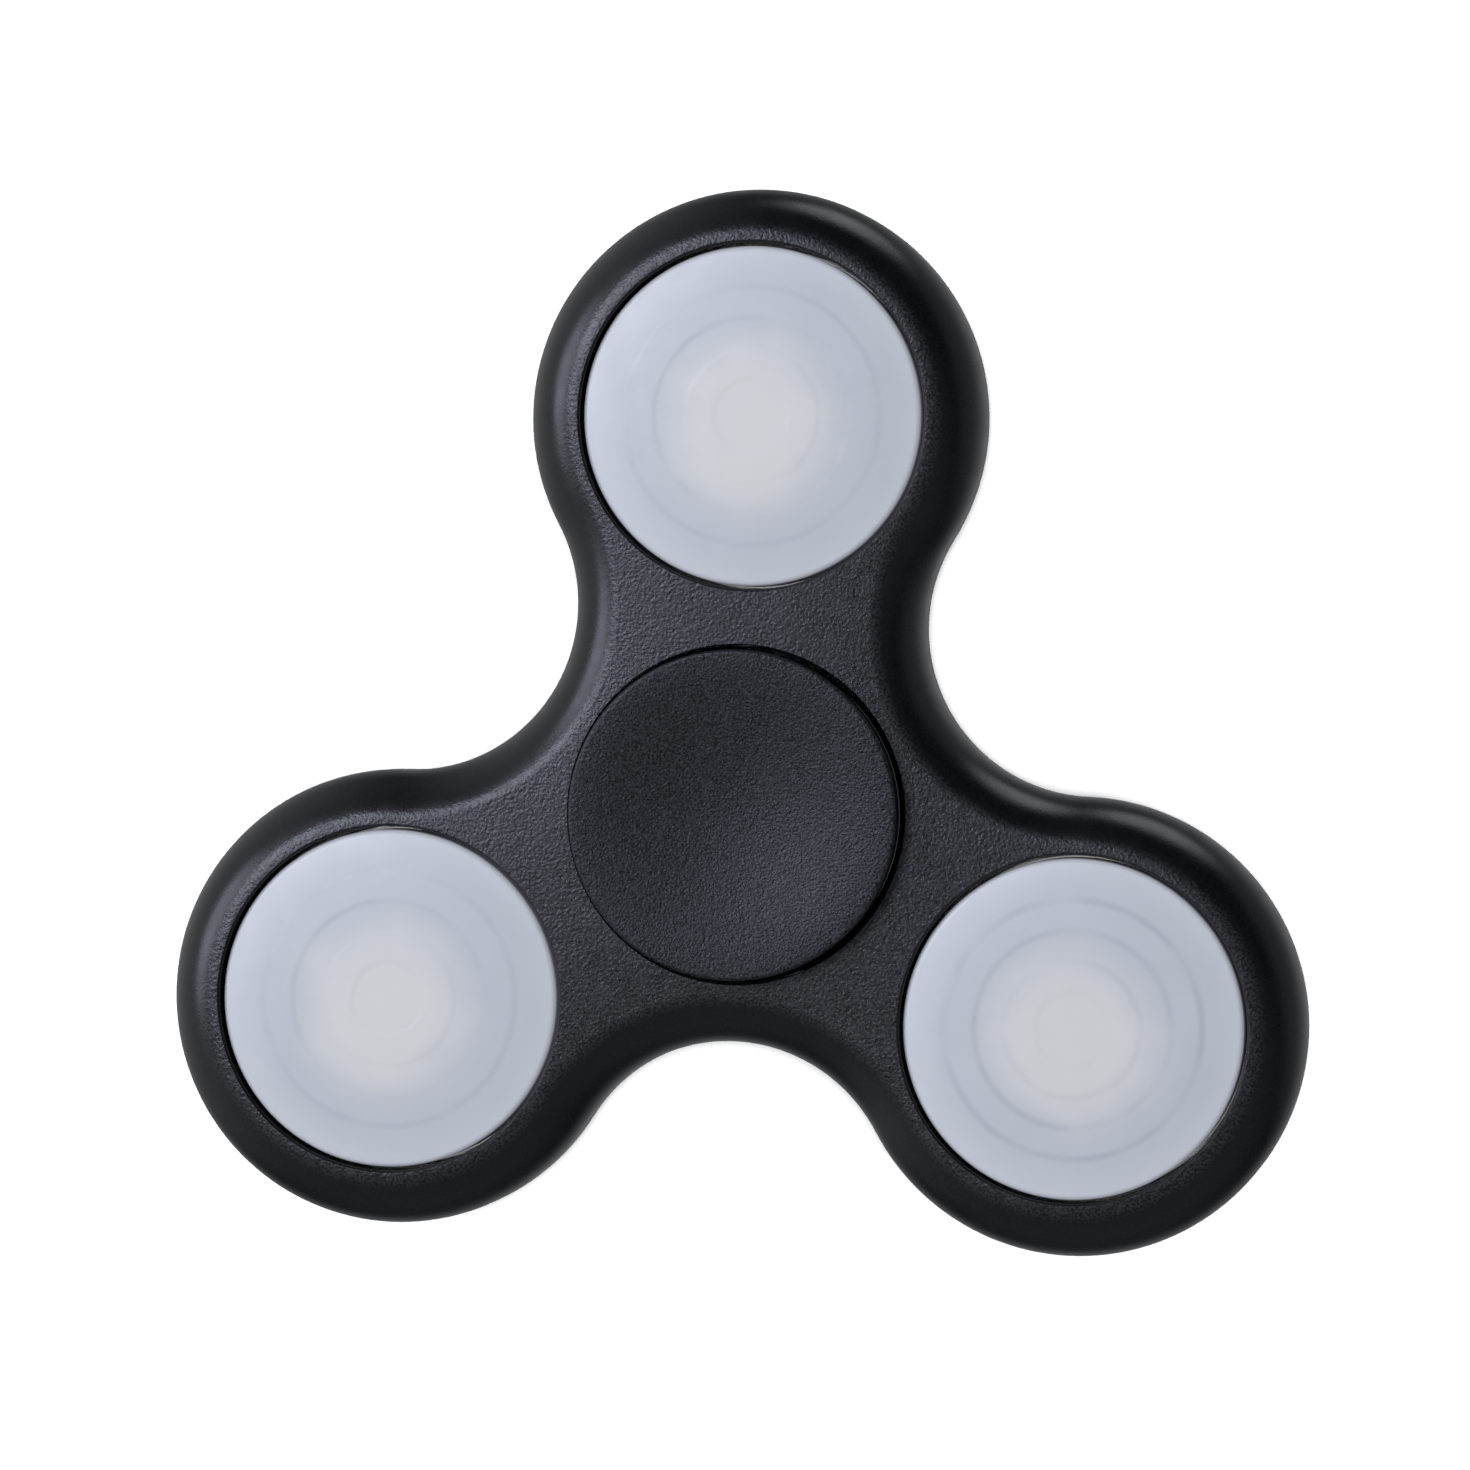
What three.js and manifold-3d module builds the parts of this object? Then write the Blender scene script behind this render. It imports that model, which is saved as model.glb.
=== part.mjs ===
// A three-lobed fidget spinner with a press-to-light lamp in every lobe.
//
// Millimetres, +Z up. The origin is the centre of the hub bearing: Z is the spin axis, z = 0 is the
// frame's mid-plane, and lobe 1 points along +Y. Two finger caps plug into the inner race and stay
// still in the hand; the frame, the outer race and the three lamp modules spin round them.
import * as THREE from "three";
import { mergeVertices } from "three/addons/utils/BufferGeometryUtils.js";
import Module from "manifold-3d";

const wasm = await Module();
wasm.setup();

// ---- Driving dimensions ----------------------------------------------------------------------

// Frame: lobes and waists are arcs centred on one circle, so that each touches the next.
const LOBES = 3;
const SPACING = 26; // spin axis to the centre of a lobe, and to the centre of a waist
const LOBE_R = 15;
const WAIST_R = SPACING - LOBE_R;
const FRAME_Z = 5; // the frame's flat faces are at +-FRAME_Z
const EDGE_IN = 3.4; // how far the rounded edge reaches in from the outline
const EDGE_WALL_Z = 0.8; // the upright band at the parting line is +- this high
const RIM_CHAMFER = 0.25;

// Hub bearing, size 608.
const BEARING = { bore: 4, outer: 11, z: 3.5, pitch: 7.5, ball: 1.9845, balls: 7 };
const RACE = { innerLand: 6.05, outerLand: 8.95, recess: 9.6, recessZ: 2.9, play: 0.08 };
const SHIELD = { inner: 6.3, outer: 9.5, z: 2.98, thick: 0.3 };
const CAGE = { inner: 6.7, outer: 8.3, low: -2.6, high: 1.3, pocket: 2.12 };

// Finger caps.
const CAP = { r: 10.75, under: 5.35, rim: 7.2, dish: 0.6, rimFlat: 0.3, round: 0.35 };
const CAP_BOSS = { r: 3.97, end: 0.15, shoulder: 5.2, core: 2.4, coreTop: 4.6 };

// Lamp module: one per lobe, on the lobe's own axis.
const POCKET_R = 11.3;
const LENS = { r: 11.1, inner: 10, skirt: 1.5, roof: 4, shoulder: 4.3, top: 5.1, lip: 9.7, lipTop: 2 };
const CASE = { r: 11.2, bottom: -4.8, deck: 0.8, tube: 9.6, tubeIn: 8.95, top: 3, bead: 9.9, beadZ: 2.1 };
const BAY = { r: 8.9, top: 0.75, ledge: 8.2, ledgeTop: 1.2, mouth: 9.5, groove: 10.15, grooveZ: [-4.2, -3.6] };
const BOARD = { r: 8.85, z: 1.25, thick: 0.8 };
const CELL = { r: 3.95, low: -3, high: 0.6, at: 4.65, face: 3.2, step: 0.25 };
const COVER = { r: 9.4, face: -4.8, seat: -3.65, pad: 8.6, padTop: -3.4, lug: 10, lugZ: [-4.15, -3.65] };
const STRIP_Z = [-3.3, -3.08]; // contact strips between the cells and the cover

const COMPONENT_Z = BOARD.z + BOARD.thick + 0.05; // what stands on the board starts here
const SWITCH = { side: 4, top: 2.95, cavity: 1.25, cavityTop: 2.75, hole: 0.85 };
const PLUNGER = { stem: 0.75, top: 3.45, flange: 1.1, flangeZ: [2.5, 2.7] };
const LED = { long: 3.5, wide: 2.8, high: 1.35, at: 5.7, corner: 0.6 };
const CHIP = { r: 2, high: 0.9, at: 5.9 };

const FINE = 28; // facets round a bearing ring or finger cap
const MEDIUM = 24; // facets round a lens, case or cover
const COARSE = 16; // facets round a cell or another small round piece

const degrees = (d) => (d * Math.PI) / 180;
const polar = (r, angle) => [r * Math.cos(angle), r * Math.sin(angle)];

// ---- Materials -------------------------------------------------------------------------------

const paint = (color, roughness, metalness = 0) =>
  new THREE.MeshStandardMaterial({ color, roughness, metalness });

const blackPlastic = paint(0x1b1c1f, 0.5);
const capPlastic = paint(0x26282c, 0.7);
const milkyPlastic = paint(0xccd0da, 0.3);
const whitePlastic = paint(0xd9dade, 0.45);
const steel = paint(0xb4b6ba, 0.25, 1);
const nylon = paint(0xe6ddc8, 0.5);
const boardGreen = paint(0x1f5a38, 0.5);
const epoxyBlack = paint(0x101012, 0.35);
const ledWhite = paint(0xe8e8e4, 0.4);
const springBrass = paint(0xc9a455, 0.35, 1);
const cellSteel = paint(0xc4c6c8, 0.3, 1);
const switchGrey = paint(0x3a3c40, 0.5);

// ---- Shape helpers ---------------------------------------------------------------------------

// A solid of revolution about Z from a profile of [radius, z] points.
function revolve(profile, facets) {
  const points = profile.map(([r, z]) => new THREE.Vector2(r, z));
  return new THREE.LatheGeometry(points, facets).rotateX(Math.PI / 2);
}

// A ring of revolution: its profile stays off the axis and is closed here.
function revolveRing(profile, facets) {
  return revolve([...profile, profile[0]], facets);
}

// Points along an arc in the [radius, z] plane, both ends included.
function profileArc([r0, z0], radius, from, to, steps) {
  return Array.from({ length: steps + 1 }, (_, i) => {
    const angle = degrees(from + ((to - from) * i) / steps);
    return [r0 + radius * Math.cos(angle), z0 + radius * Math.sin(angle)];
  });
}

// A flat outline pushed from z = low to z = high.
function slab(shape, low, high, curveSegments = COARSE) {
  const options = { depth: high - low, bevelEnabled: false, curveSegments };
  return new THREE.ExtrudeGeometry(shape, options).translate(0, 0, low);
}

function polygon(points) {
  return new THREE.Shape(points.map(([x, y]) => new THREE.Vector2(x, y)));
}

// A strip with round ends from one point to another.
function roundedStrip([x0, y0], [x1, y1], width) {
  const along = Math.atan2(y1 - y0, x1 - x0);
  const quarter = Math.PI / 2;
  const shape = new THREE.Shape();
  shape.absarc(x1, y1, width / 2, along - quarter, along + quarter);
  shape.absarc(x0, y0, width / 2, along + quarter, along + 3 * quarter);
  shape.closePath();
  return shape;
}

// A sector of a flat ring, centred on an angle.
function ringSector(inner, outer, middle, span) {
  const steps = 4;
  const at = (r, i) => polar(r, degrees(middle - span / 2 + (span * i) / steps));
  const arc = (r) => Array.from({ length: steps + 1 }, (_, i) => at(r, i));
  return polygon([...arc(outer), ...arc(inner).reverse()]);
}

// A closed geometry as a manifold-3d solid.
function solid(geometry) {
  const bare = geometry.clone();
  bare.deleteAttribute("normal");
  bare.deleteAttribute("uv");
  const { index, attributes } = mergeVertices(bare, 1e-4);
  const triVerts = new Uint32Array(index.array);
  return new wasm.Manifold(
    new wasm.Mesh({ numProp: 3, vertProperties: attributes.position.array, triVerts }),
  );
}

// A manifold-3d solid as a geometry with flat faces.
function geometryOf(made) {
  const { vertProperties, triVerts, numProp } = made.getMesh();
  const position = new Float32Array((vertProperties.length / numProp) * 3);
  for (let i = 0; i < position.length / 3; i++)
    position.set(vertProperties.subarray(i * numProp, i * numProp + 3), i * 3);
  const geometry = new THREE.BufferGeometry();
  geometry.setAttribute("position", new THREE.BufferAttribute(position, 3));
  geometry.setIndex(new THREE.BufferAttribute(triVerts, 1));
  const flat = geometry.toNonIndexed();
  flat.computeVertexNormals();
  return flat;
}

const cut = (from, ...tools) =>
  geometryOf(tools.reduce((left, tool) => left.subtract(solid(tool)), solid(from)));

const join = (first, ...others) =>
  geometryOf(others.reduce((sum, other) => sum.add(solid(other)), solid(first)));

function piece(name, geometry, material) {
  const mesh = new THREE.Mesh(geometry, material);
  mesh.name = name;
  return mesh;
}

// ---- Frame -----------------------------------------------------------------------------------

const lobeAngle = (n) => degrees(90 + (360 / LOBES) * n);

// The outline moved in by inset: three lobes of 240 degrees joined by three waists of 120 degrees.
function outline(inset) {
  const stepDegrees = 15;
  const points = [];
  const arc = (centre, radius, from, span) => {
    const steps = Math.abs(span) / stepDegrees;
    for (let i = 0; i < steps; i++) {
      const [x, y] = polar(radius, from + degrees((span * i) / steps));
      points.push(new THREE.Vector2(centre[0] + x, centre[1] + y));
    }
  };
  for (let n = 0; n < LOBES; n++) {
    const lobe = lobeAngle(n);
    const waist = lobe + degrees(60);
    arc(polar(SPACING, lobe), LOBE_R - inset, lobe - degrees(120), 240);
    arc(polar(SPACING, waist), WAIST_R + inset, waist + degrees(240), -120);
  }
  return points;
}

// The frame before its holes: outlines stacked along a rounded edge, closed by two flat faces.
function frameBlank() {
  const quarterSteps = 3;
  const levels = [];
  for (const side of [-1, 1])
    for (let i = 0; i <= quarterSteps; i++) {
      const share = side < 0 ? quarterSteps - i : i;
      const turn = degrees((90 * share) / quarterSteps);
      const rise = (FRAME_Z - EDGE_WALL_Z) * Math.sin(turn);
      levels.push({ inset: EDGE_IN * (1 - Math.cos(turn)), z: side * (EDGE_WALL_Z + rise) });
    }
  const rings = levels.map(({ inset }) => outline(inset));
  const count = rings[0].length;
  const position = rings.flatMap((ring, n) => ring.flatMap(({ x, y }) => [x, y, levels[n].z]));
  const index = [];
  for (let n = 0; n + 1 < rings.length; n++)
    for (let i = 0; i < count; i++) {
      const j = (i + 1) % count;
      const [a, b, c, d] = [n * count + i, n * count + j, (n + 1) * count + j, (n + 1) * count + i];
      index.push(a, b, c, a, c, d);
    }
  const top = (rings.length - 1) * count;
  for (const [a, b, c] of THREE.ShapeUtils.triangulateShape(rings[0], []))
    index.push(c, b, a, top + a, top + b, top + c);
  const geometry = new THREE.BufferGeometry();
  geometry.setAttribute("position", new THREE.Float32BufferAttribute(position, 3));
  geometry.setIndex(index);
  return geometry;
}

// A through hole whose two rims are chamfered.
function holeCutter(r) {
  const past = 1;
  const flare = RIM_CHAMFER + past;
  return revolve(
    [
      [0, -FRAME_Z - past],
      [r + flare, -FRAME_Z - past],
      [r, -FRAME_Z + RIM_CHAMFER],
      [r, FRAME_Z - RIM_CHAMFER],
      [r + flare, FRAME_Z + past],
      [0, FRAME_Z + past],
    ],
    FINE,
  );
}

function frameGeometry() {
  const fit = 0.06; // radial gap round the bearing
  const pockets = Array.from({ length: LOBES }, (_, n) => {
    const [x, y] = polar(SPACING, lobeAngle(n));
    return holeCutter(POCKET_R).rotateZ(lobeAngle(n)).translate(x, y, 0);
  });
  return cut(frameBlank(), holeCutter(BEARING.outer + fit), ...pockets);
}

// ---- Hub bearing -----------------------------------------------------------------------------

const trackR = BEARING.ball + RACE.play; // the ball tracks are circles round the balls' centres

function innerRace() {
  const half = (Math.acos((BEARING.pitch - RACE.innerLand) / trackR) * 180) / Math.PI;
  const edge = 0.3;
  return revolveRing(
    [
      [BEARING.bore, -BEARING.z + edge],
      [BEARING.bore + edge, -BEARING.z],
      [RACE.innerLand - edge, -BEARING.z],
      [RACE.innerLand, -BEARING.z + edge],
      ...profileArc([BEARING.pitch, 0], trackR, 180 + half, 180 - half, 3),
      [RACE.innerLand, BEARING.z - edge],
      [RACE.innerLand - edge, BEARING.z],
      [BEARING.bore + edge, BEARING.z],
      [BEARING.bore, BEARING.z - edge],
    ],
    FINE,
  );
}

function outerRace() {
  const half = (Math.acos((RACE.outerLand - BEARING.pitch) / trackR) * 180) / Math.PI;
  const edge = 0.4;
  return revolveRing(
    [
      [BEARING.outer - edge, -BEARING.z],
      [BEARING.outer, -BEARING.z + edge],
      [BEARING.outer, BEARING.z - edge],
      [BEARING.outer - edge, BEARING.z],
      [RACE.recess, BEARING.z],
      [RACE.recess, RACE.recessZ],
      [RACE.outerLand, RACE.recessZ],
      ...profileArc([BEARING.pitch, 0], trackR, half, -half, 3),
      [RACE.outerLand, -RACE.recessZ],
      [RACE.recess, -RACE.recessZ],
      [RACE.recess, -BEARING.z],
    ],
    FINE,
  );
}

// A pressed shield, dished a little towards the balls at its inner edge.
function shield() {
  const dish = 0.25;
  const bend = 7.2; // radius at which the dish starts
  const { inner, outer, z, thick } = SHIELD;
  return revolveRing(
    [
      [inner, z - dish],
      [bend, z],
      [outer, z],
      [outer, z + thick],
      [bend, z + thick],
      [inner, z + thick - dish],
    ],
    FINE,
  );
}

const ballAngle = (n) => degrees(90 + (360 / BEARING.balls) * n);

// A one-piece crown cage: a ring whose round pockets are open at the top.
function ballCage() {
  const ring = revolveRing(
    [
      [CAGE.inner, CAGE.low],
      [CAGE.outer, CAGE.low],
      [CAGE.outer, CAGE.high],
      [CAGE.inner, CAGE.high],
    ],
    FINE,
  );
  const pockets = Array.from({ length: BEARING.balls }, (_, n) => {
    const [x, y] = polar(BEARING.pitch, ballAngle(n));
    return new THREE.SphereGeometry(CAGE.pocket, 10, 6).translate(x, y, 0);
  });
  return cut(ring, ...pockets);
}

function ball(n) {
  const [x, y] = polar(BEARING.pitch, ballAngle(n));
  return new THREE.IcosahedronGeometry(BEARING.ball, 2).translate(x, y, 0);
}

// ---- Finger caps -----------------------------------------------------------------------------

// The front cap: a dished disc, a shoulder that seats on the inner race, and a hollow plug.
function fingerCap() {
  const { r, under, rim, dish, rimFlat, round } = CAP;
  const flatEdge = r - round;
  const dishEdge = flatEdge - rimFlat;
  const dishFlat = 3; // the middle of the dish is flat as far as this radius
  const seat = BEARING.z + 0.03;
  return revolve(
    [
      [0, CAP_BOSS.coreTop],
      [CAP_BOSS.core, CAP_BOSS.coreTop],
      [CAP_BOSS.core, CAP_BOSS.end],
      [CAP_BOSS.r - 0.3, CAP_BOSS.end],
      [CAP_BOSS.r, CAP_BOSS.end + 0.3],
      [CAP_BOSS.r, seat],
      [CAP_BOSS.shoulder, seat],
      [CAP_BOSS.shoulder, under],
      [r - 0.2, under],
      [r, under + 0.2],
      ...profileArc([r - round, rim - round], round, 0, 90, 3),
      [dishEdge, rim],
      [(dishEdge + dishFlat) / 2, rim - dish * 0.72],
      [dishFlat, rim - dish],
      [0, rim - dish],
    ],
    FINE,
  );
}

// ---- Lamp module -----------------------------------------------------------------------------

// The milky press lens: a domed roof, a skirt with a catch inside it, and a stem over the switch.
function lens() {
  const stem = 0.9;
  const { r, inner, skirt, roof, shoulder, top, lip, lipTop } = LENS;
  return revolve(
    [
      [0, PLUNGER.top + 0.05],
      [stem, PLUNGER.top + 0.05],
      [stem, roof],
      [inner - 0.3, roof],
      [inner, roof - 0.3],
      [inner, lipTop],
      [lip, lipTop],
      [lip, skirt + 0.2],
      [lip + 0.2, skirt],
      [r, skirt],
      [r, shoulder],
      [r - 0.12, shoulder + 0.28],
      [r - 0.45, shoulder + 0.48],
      [r * 0.66, top - 0.13],
      [r * 0.33, top - 0.03],
      [0, top],
    ],
    MEDIUM,
  );
}

const cellAngleDegrees = (n) => 90 + 120 * n;
const cellAngle = (n) => degrees(cellAngleDegrees(n));
const cellCentre = (n) => polar(CELL.at, cellAngle(n));
const LUG_DEGREES = 26;

// The fixed case: battery bay below, tube for the board above, catch bead for the lens outside.
function moduleCase() {
  const chamfer = 0.2;
  const shell = revolveRing(
    [
      [CASE.r - chamfer, CASE.bottom],
      [CASE.r, CASE.bottom + chamfer],
      [CASE.r, CASE.deck],
      [CASE.tube, CASE.deck],
      [CASE.tube, CASE.beadZ],
      [CASE.bead, CASE.beadZ],
      [CASE.bead, CASE.beadZ + 0.2],
      [CASE.tube, CASE.top - 0.2],
      [CASE.tube, CASE.top],
      [CASE.tubeIn, CASE.top],
      [CASE.tubeIn, BAY.ledgeTop],
      [BAY.ledge, BAY.ledgeTop],
      [BAY.ledge, BAY.top],
      [BAY.r, BAY.top],
      [BAY.r, BAY.grooveZ[1]],
      [BAY.groove, BAY.grooveZ[1]],
      [BAY.groove, BAY.grooveZ[0]],
      [BAY.mouth, BAY.grooveZ[0]],
      [BAY.mouth, CASE.bottom],
    ],
    MEDIUM,
  );
  // Ribs between the cells, and notches that let the cover's lugs in.
  const ribEnd = 5.2;
  const ribHalf = 0.6;
  const ribRoot = BAY.r + 0.2;
  const ribs = [0, 1, 2].map((n) => {
    const bar = polygon([
      [ribEnd, -ribHalf],
      [ribRoot, -ribHalf],
      [ribRoot, ribHalf],
      [ribEnd, ribHalf],
    ]);
    return slab(bar, CELL.low, BAY.top + 0.1).rotateZ(cellAngle(n) + degrees(60));
  });
  const notchDegrees = LUG_DEGREES + 6;
  const belowCase = CASE.bottom - 1;
  const notches = [0, 1, 2].map((n) => {
    const sector = ringSector(BAY.r, BAY.groove, cellAngleDegrees(n) + 60, notchDegrees);
    return slab(sector, belowCase, BAY.grooveZ[1] - 0.1);
  });
  let made = solid(shell);
  for (const rib of ribs) made = made.add(solid(rib));
  for (const notch of notches) made = made.subtract(solid(notch));
  return geometryOf(made);
}

// The twist-lock cover: a disc with a pad inside, a coin slot outside and three lugs.
function batteryCover() {
  const disc = revolve(
    [
      [0, COVER.face],
      [COVER.r - 0.2, COVER.face],
      [COVER.r, COVER.face + 0.2],
      [COVER.r, COVER.seat],
      [COVER.pad, COVER.seat],
      [COVER.pad, COVER.padTop],
      [0, COVER.padTop],
    ],
    MEDIUM,
  );
  const lugs = [0, 1, 2].map((n) =>
    slab(ringSector(COVER.r - 0.5, COVER.lug, cellAngleDegrees(n), LUG_DEGREES), ...COVER.lugZ),
  );
  const slotLength = 10;
  const slotWidth = 1.6;
  const slotDepth = 0.6;
  const slot = new THREE.BoxGeometry(slotLength, slotWidth, 2 * slotDepth);
  slot.translate(0, 0, COVER.face);
  let made = solid(disc);
  for (const lug of lugs) made = made.add(solid(lug));
  return geometryOf(made.subtract(solid(slot)));
}

// The board, with the two battery contacts that are soldered under it: a pad over the first cell
// and a bridge over the other two.
function circuitBoard() {
  const disc = new THREE.Shape().absarc(0, 0, BOARD.r, 0, 2 * Math.PI);
  const board = slab(disc, BOARD.z, BOARD.z + BOARD.thick, COARSE);
  const contactZ = [CELL.high + 0.05, CELL.high + 0.25];
  const postTop = BOARD.z + 0.1;
  const post = ([x, y]) =>
    new THREE.CylinderGeometry(0.6, 0.6, postTop - contactZ[0], 6)
      .rotateX(Math.PI / 2)
      .translate(x, y, (postTop + contactZ[0]) / 2);
  const [first, second, third] = [0, 1, 2].map(cellCentre);
  const padEnd = [first[0] + 0.01, first[1] + 1.2];
  return join(
    board,
    slab(roundedStrip(first, padEnd, 2.4), ...contactZ, 3),
    slab(roundedStrip(second, third, 2.4), ...contactZ, 3),
    ...[first, second, third].map(post),
  );
}

// The strip under the first two cells that puts them in series.
function cellLink() {
  return slab(roundedStrip(cellCentre(0), cellCentre(1), 2.4), ...STRIP_Z, 3);
}

// The return terminal: a pad under the third cell and a post up between the cells to the board.
function returnTerminal() {
  const postR = 0.4;
  const postTop = BOARD.z - 0.05;
  const post = new THREE.CylinderGeometry(postR, postR, postTop - STRIP_Z[0], 6)
    .rotateX(Math.PI / 2)
    .translate(0, 0, (postTop + STRIP_Z[0]) / 2);
  return join(slab(roundedStrip([0, 0], cellCentre(2), 1.2), ...STRIP_Z, 3), post);
}

// A button cell: a can, and a slightly smaller raised face at its negative end.
function buttonCell(n) {
  const { r, low, high, face, step } = CELL;
  const up = n === 1; // the middle cell of the series is turned over
  const profile = up
    ? [[0, low], [r, low], [r, high - step], [face, high - step], [face, high], [0, high]]
    : [[0, low], [face, low], [face, low + step], [r, low + step], [r, high], [0, high]];
  const [x, y] = cellCentre(n);
  return revolve(profile, COARSE).translate(x, y, 0);
}

// The tact switch's housing, open underneath, with a hole on top for the plunger.
function switchBody() {
  const past = 1;
  const housing = new THREE.BoxGeometry(SWITCH.side, SWITCH.side, SWITCH.top - COMPONENT_Z);
  housing.translate(0, 0, (SWITCH.top + COMPONENT_Z) / 2);
  const bore = revolve(
    [
      [0, COMPONENT_Z - past],
      [SWITCH.cavity, COMPONENT_Z - past],
      [SWITCH.cavity, SWITCH.cavityTop],
      [SWITCH.hole, SWITCH.cavityTop],
      [SWITCH.hole, SWITCH.top + past],
      [0, SWITCH.top + past],
    ],
    COARSE,
  );
  return cut(housing, bore);
}

function switchPlunger() {
  const { stem, top, flange, flangeZ } = PLUNGER;
  return revolve(
    [
      [0, flangeZ[0]],
      [flange, flangeZ[0]],
      [flange, flangeZ[1]],
      [stem, flangeZ[1]],
      [stem, top - 0.1],
      [stem - 0.1, top],
      [0, top],
    ],
    COARSE,
  );
}

// A surface-mount LED with one corner cut off to mark its polarity.
function led(n) {
  const [x, y] = [LED.wide / 2, LED.long / 2];
  const body = polygon([
    [-x, -y],
    [x, -y],
    [x, y - LED.corner],
    [x - LED.corner, y],
    [-x, y],
  ]);
  const angle = degrees(90 + 120 * n);
  const [cx, cy] = polar(LED.at, angle);
  const made = slab(body, COMPONENT_Z, COMPONENT_Z + LED.high);
  return made.rotateZ(angle).translate(cx, cy, 0);
}

// The control chip under its drop of black epoxy.
function controlChip() {
  const [x, y] = polar(CHIP.at, degrees(150));
  const low = COMPONENT_Z;
  const dome = [0, 1, 2, 3, 4].map((i) => {
    const turn = degrees((90 * i) / 4);
    return [CHIP.r * Math.cos(turn), low + 0.1 + (CHIP.high - 0.1) * Math.sin(turn)];
  });
  const profile = [[0, low], [CHIP.r, low], ...dome.slice(0, -1), [0, low + CHIP.high]];
  return revolve(profile, COARSE).translate(x, y, 0);
}

function lampModule(n) {
  const label = n + 1;
  const module = new THREE.Group();
  const [x, y] = polar(SPACING, lobeAngle(n));
  module.position.set(x, y, 0);
  module.rotation.z = lobeAngle(n) - lobeAngle(0);
  module.add(
    piece(`light_lens_${label}`, lens(), milkyPlastic),
    piece(`module_case_${label}`, moduleCase(), whitePlastic),
    piece(`circuit_board_${label}`, circuitBoard(), boardGreen),
    piece(`switch_body_${label}`, switchBody(), switchGrey),
    piece(`switch_plunger_${label}`, switchPlunger(), blackPlastic),
    piece(`led_red_${label}`, led(0), ledWhite),
    piece(`led_green_${label}`, led(1), ledWhite),
    piece(`led_blue_${label}`, led(2), ledWhite),
    piece(`control_chip_${label}`, controlChip(), epoxyBlack),
    piece(`button_cell_a_${label}`, buttonCell(0), cellSteel),
    piece(`button_cell_b_${label}`, buttonCell(1), cellSteel),
    piece(`button_cell_c_${label}`, buttonCell(2), cellSteel),
    piece(`cell_link_strip_${label}`, cellLink(), springBrass),
    piece(`return_terminal_${label}`, returnTerminal(), springBrass),
    piece(`battery_cover_${label}`, batteryCover(), whitePlastic),
  );
  return module;
}

// ---- Assembly --------------------------------------------------------------------------------

const spinner = new THREE.Group();

spinner.add(
  piece("front_finger_cap", fingerCap(), capPlastic),
  piece("rear_finger_cap", fingerCap().rotateX(Math.PI), capPlastic),
  piece("inner_race", innerRace(), steel),
  piece("outer_race", outerRace(), steel),
  piece("front_shield", shield(), steel),
  piece("rear_shield", shield().rotateX(Math.PI), steel),
  piece("ball_cage", ballCage(), nylon),
  piece("spinner_frame", frameGeometry(), blackPlastic),
);

for (let n = 0; n < BEARING.balls; n++) spinner.add(piece(`bearing_ball_${n + 1}`, ball(n), steel));

for (let n = 0; n < LOBES; n++) spinner.add(lampModule(n));

export default spinner;
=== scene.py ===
"""The looks of a three-lobed fidget spinner with a press-to-light lamp in every lobe.

Everything is in metres, in the CAD frame: +Z is the spin axis and lobe 1 points along +Y. Shapes are
written in millimetres, as on a drawing, and turned into metres when a mesh is made.
"""
import math

import bmesh
import bpy
from mathutils import Matrix, Vector


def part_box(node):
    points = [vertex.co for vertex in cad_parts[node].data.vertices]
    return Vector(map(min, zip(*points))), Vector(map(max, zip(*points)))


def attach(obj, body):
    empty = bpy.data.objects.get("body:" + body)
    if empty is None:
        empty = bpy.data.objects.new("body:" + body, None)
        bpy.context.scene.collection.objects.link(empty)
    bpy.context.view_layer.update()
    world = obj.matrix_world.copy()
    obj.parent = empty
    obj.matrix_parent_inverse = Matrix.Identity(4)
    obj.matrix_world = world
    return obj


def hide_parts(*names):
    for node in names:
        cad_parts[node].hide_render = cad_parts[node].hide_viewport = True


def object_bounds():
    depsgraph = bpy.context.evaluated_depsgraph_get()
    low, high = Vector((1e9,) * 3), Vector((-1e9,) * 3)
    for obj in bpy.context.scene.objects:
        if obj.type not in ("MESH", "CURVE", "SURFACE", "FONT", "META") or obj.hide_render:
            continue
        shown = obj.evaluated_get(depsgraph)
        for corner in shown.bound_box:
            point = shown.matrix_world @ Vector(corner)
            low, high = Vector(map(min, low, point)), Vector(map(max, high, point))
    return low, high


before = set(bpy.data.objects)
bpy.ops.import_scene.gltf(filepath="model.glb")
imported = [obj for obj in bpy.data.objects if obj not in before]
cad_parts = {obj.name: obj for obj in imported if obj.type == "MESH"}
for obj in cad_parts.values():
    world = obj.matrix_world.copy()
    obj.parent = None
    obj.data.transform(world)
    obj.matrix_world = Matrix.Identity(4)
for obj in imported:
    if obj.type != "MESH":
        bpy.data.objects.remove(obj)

CAD_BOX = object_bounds()
MM = 0.001

# ---- Driving dimensions, in millimetres, some read from the CAD parts and the rest given ----


def size_mm(node):
    """Lowest and highest corner of a CAD node, in millimetres."""
    low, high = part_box(node)
    return low / MM, high / MM


FRAME_HIGH = size_mm("spinner_frame")[1]
CAP_HIGH = size_mm("front_finger_cap")[1]
LENS_LOW, LENS_HIGH = size_mm("light_lens_1")

LOBES = 3
FRAME_Z = FRAME_HIGH.z  # the flat faces of the frame are at +-FRAME_Z
SPACING = round((LENS_LOW.y + LENS_HIGH.y) / 2)  # spin axis to lobe centre
LOBE_R = FRAME_HIGH.y - SPACING
WAIST_R = SPACING - LOBE_R
EDGE_IN = 3.4  # reach of the rounded edge, in from the outline
EDGE_WALL_Z = 0.8
POCKET_R = 11.3
HUB_HOLE_R = 11.06
RIM_CHAMFER = 0.15  # round the lamp pockets
HUB_CHAMFER = 0.06

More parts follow.
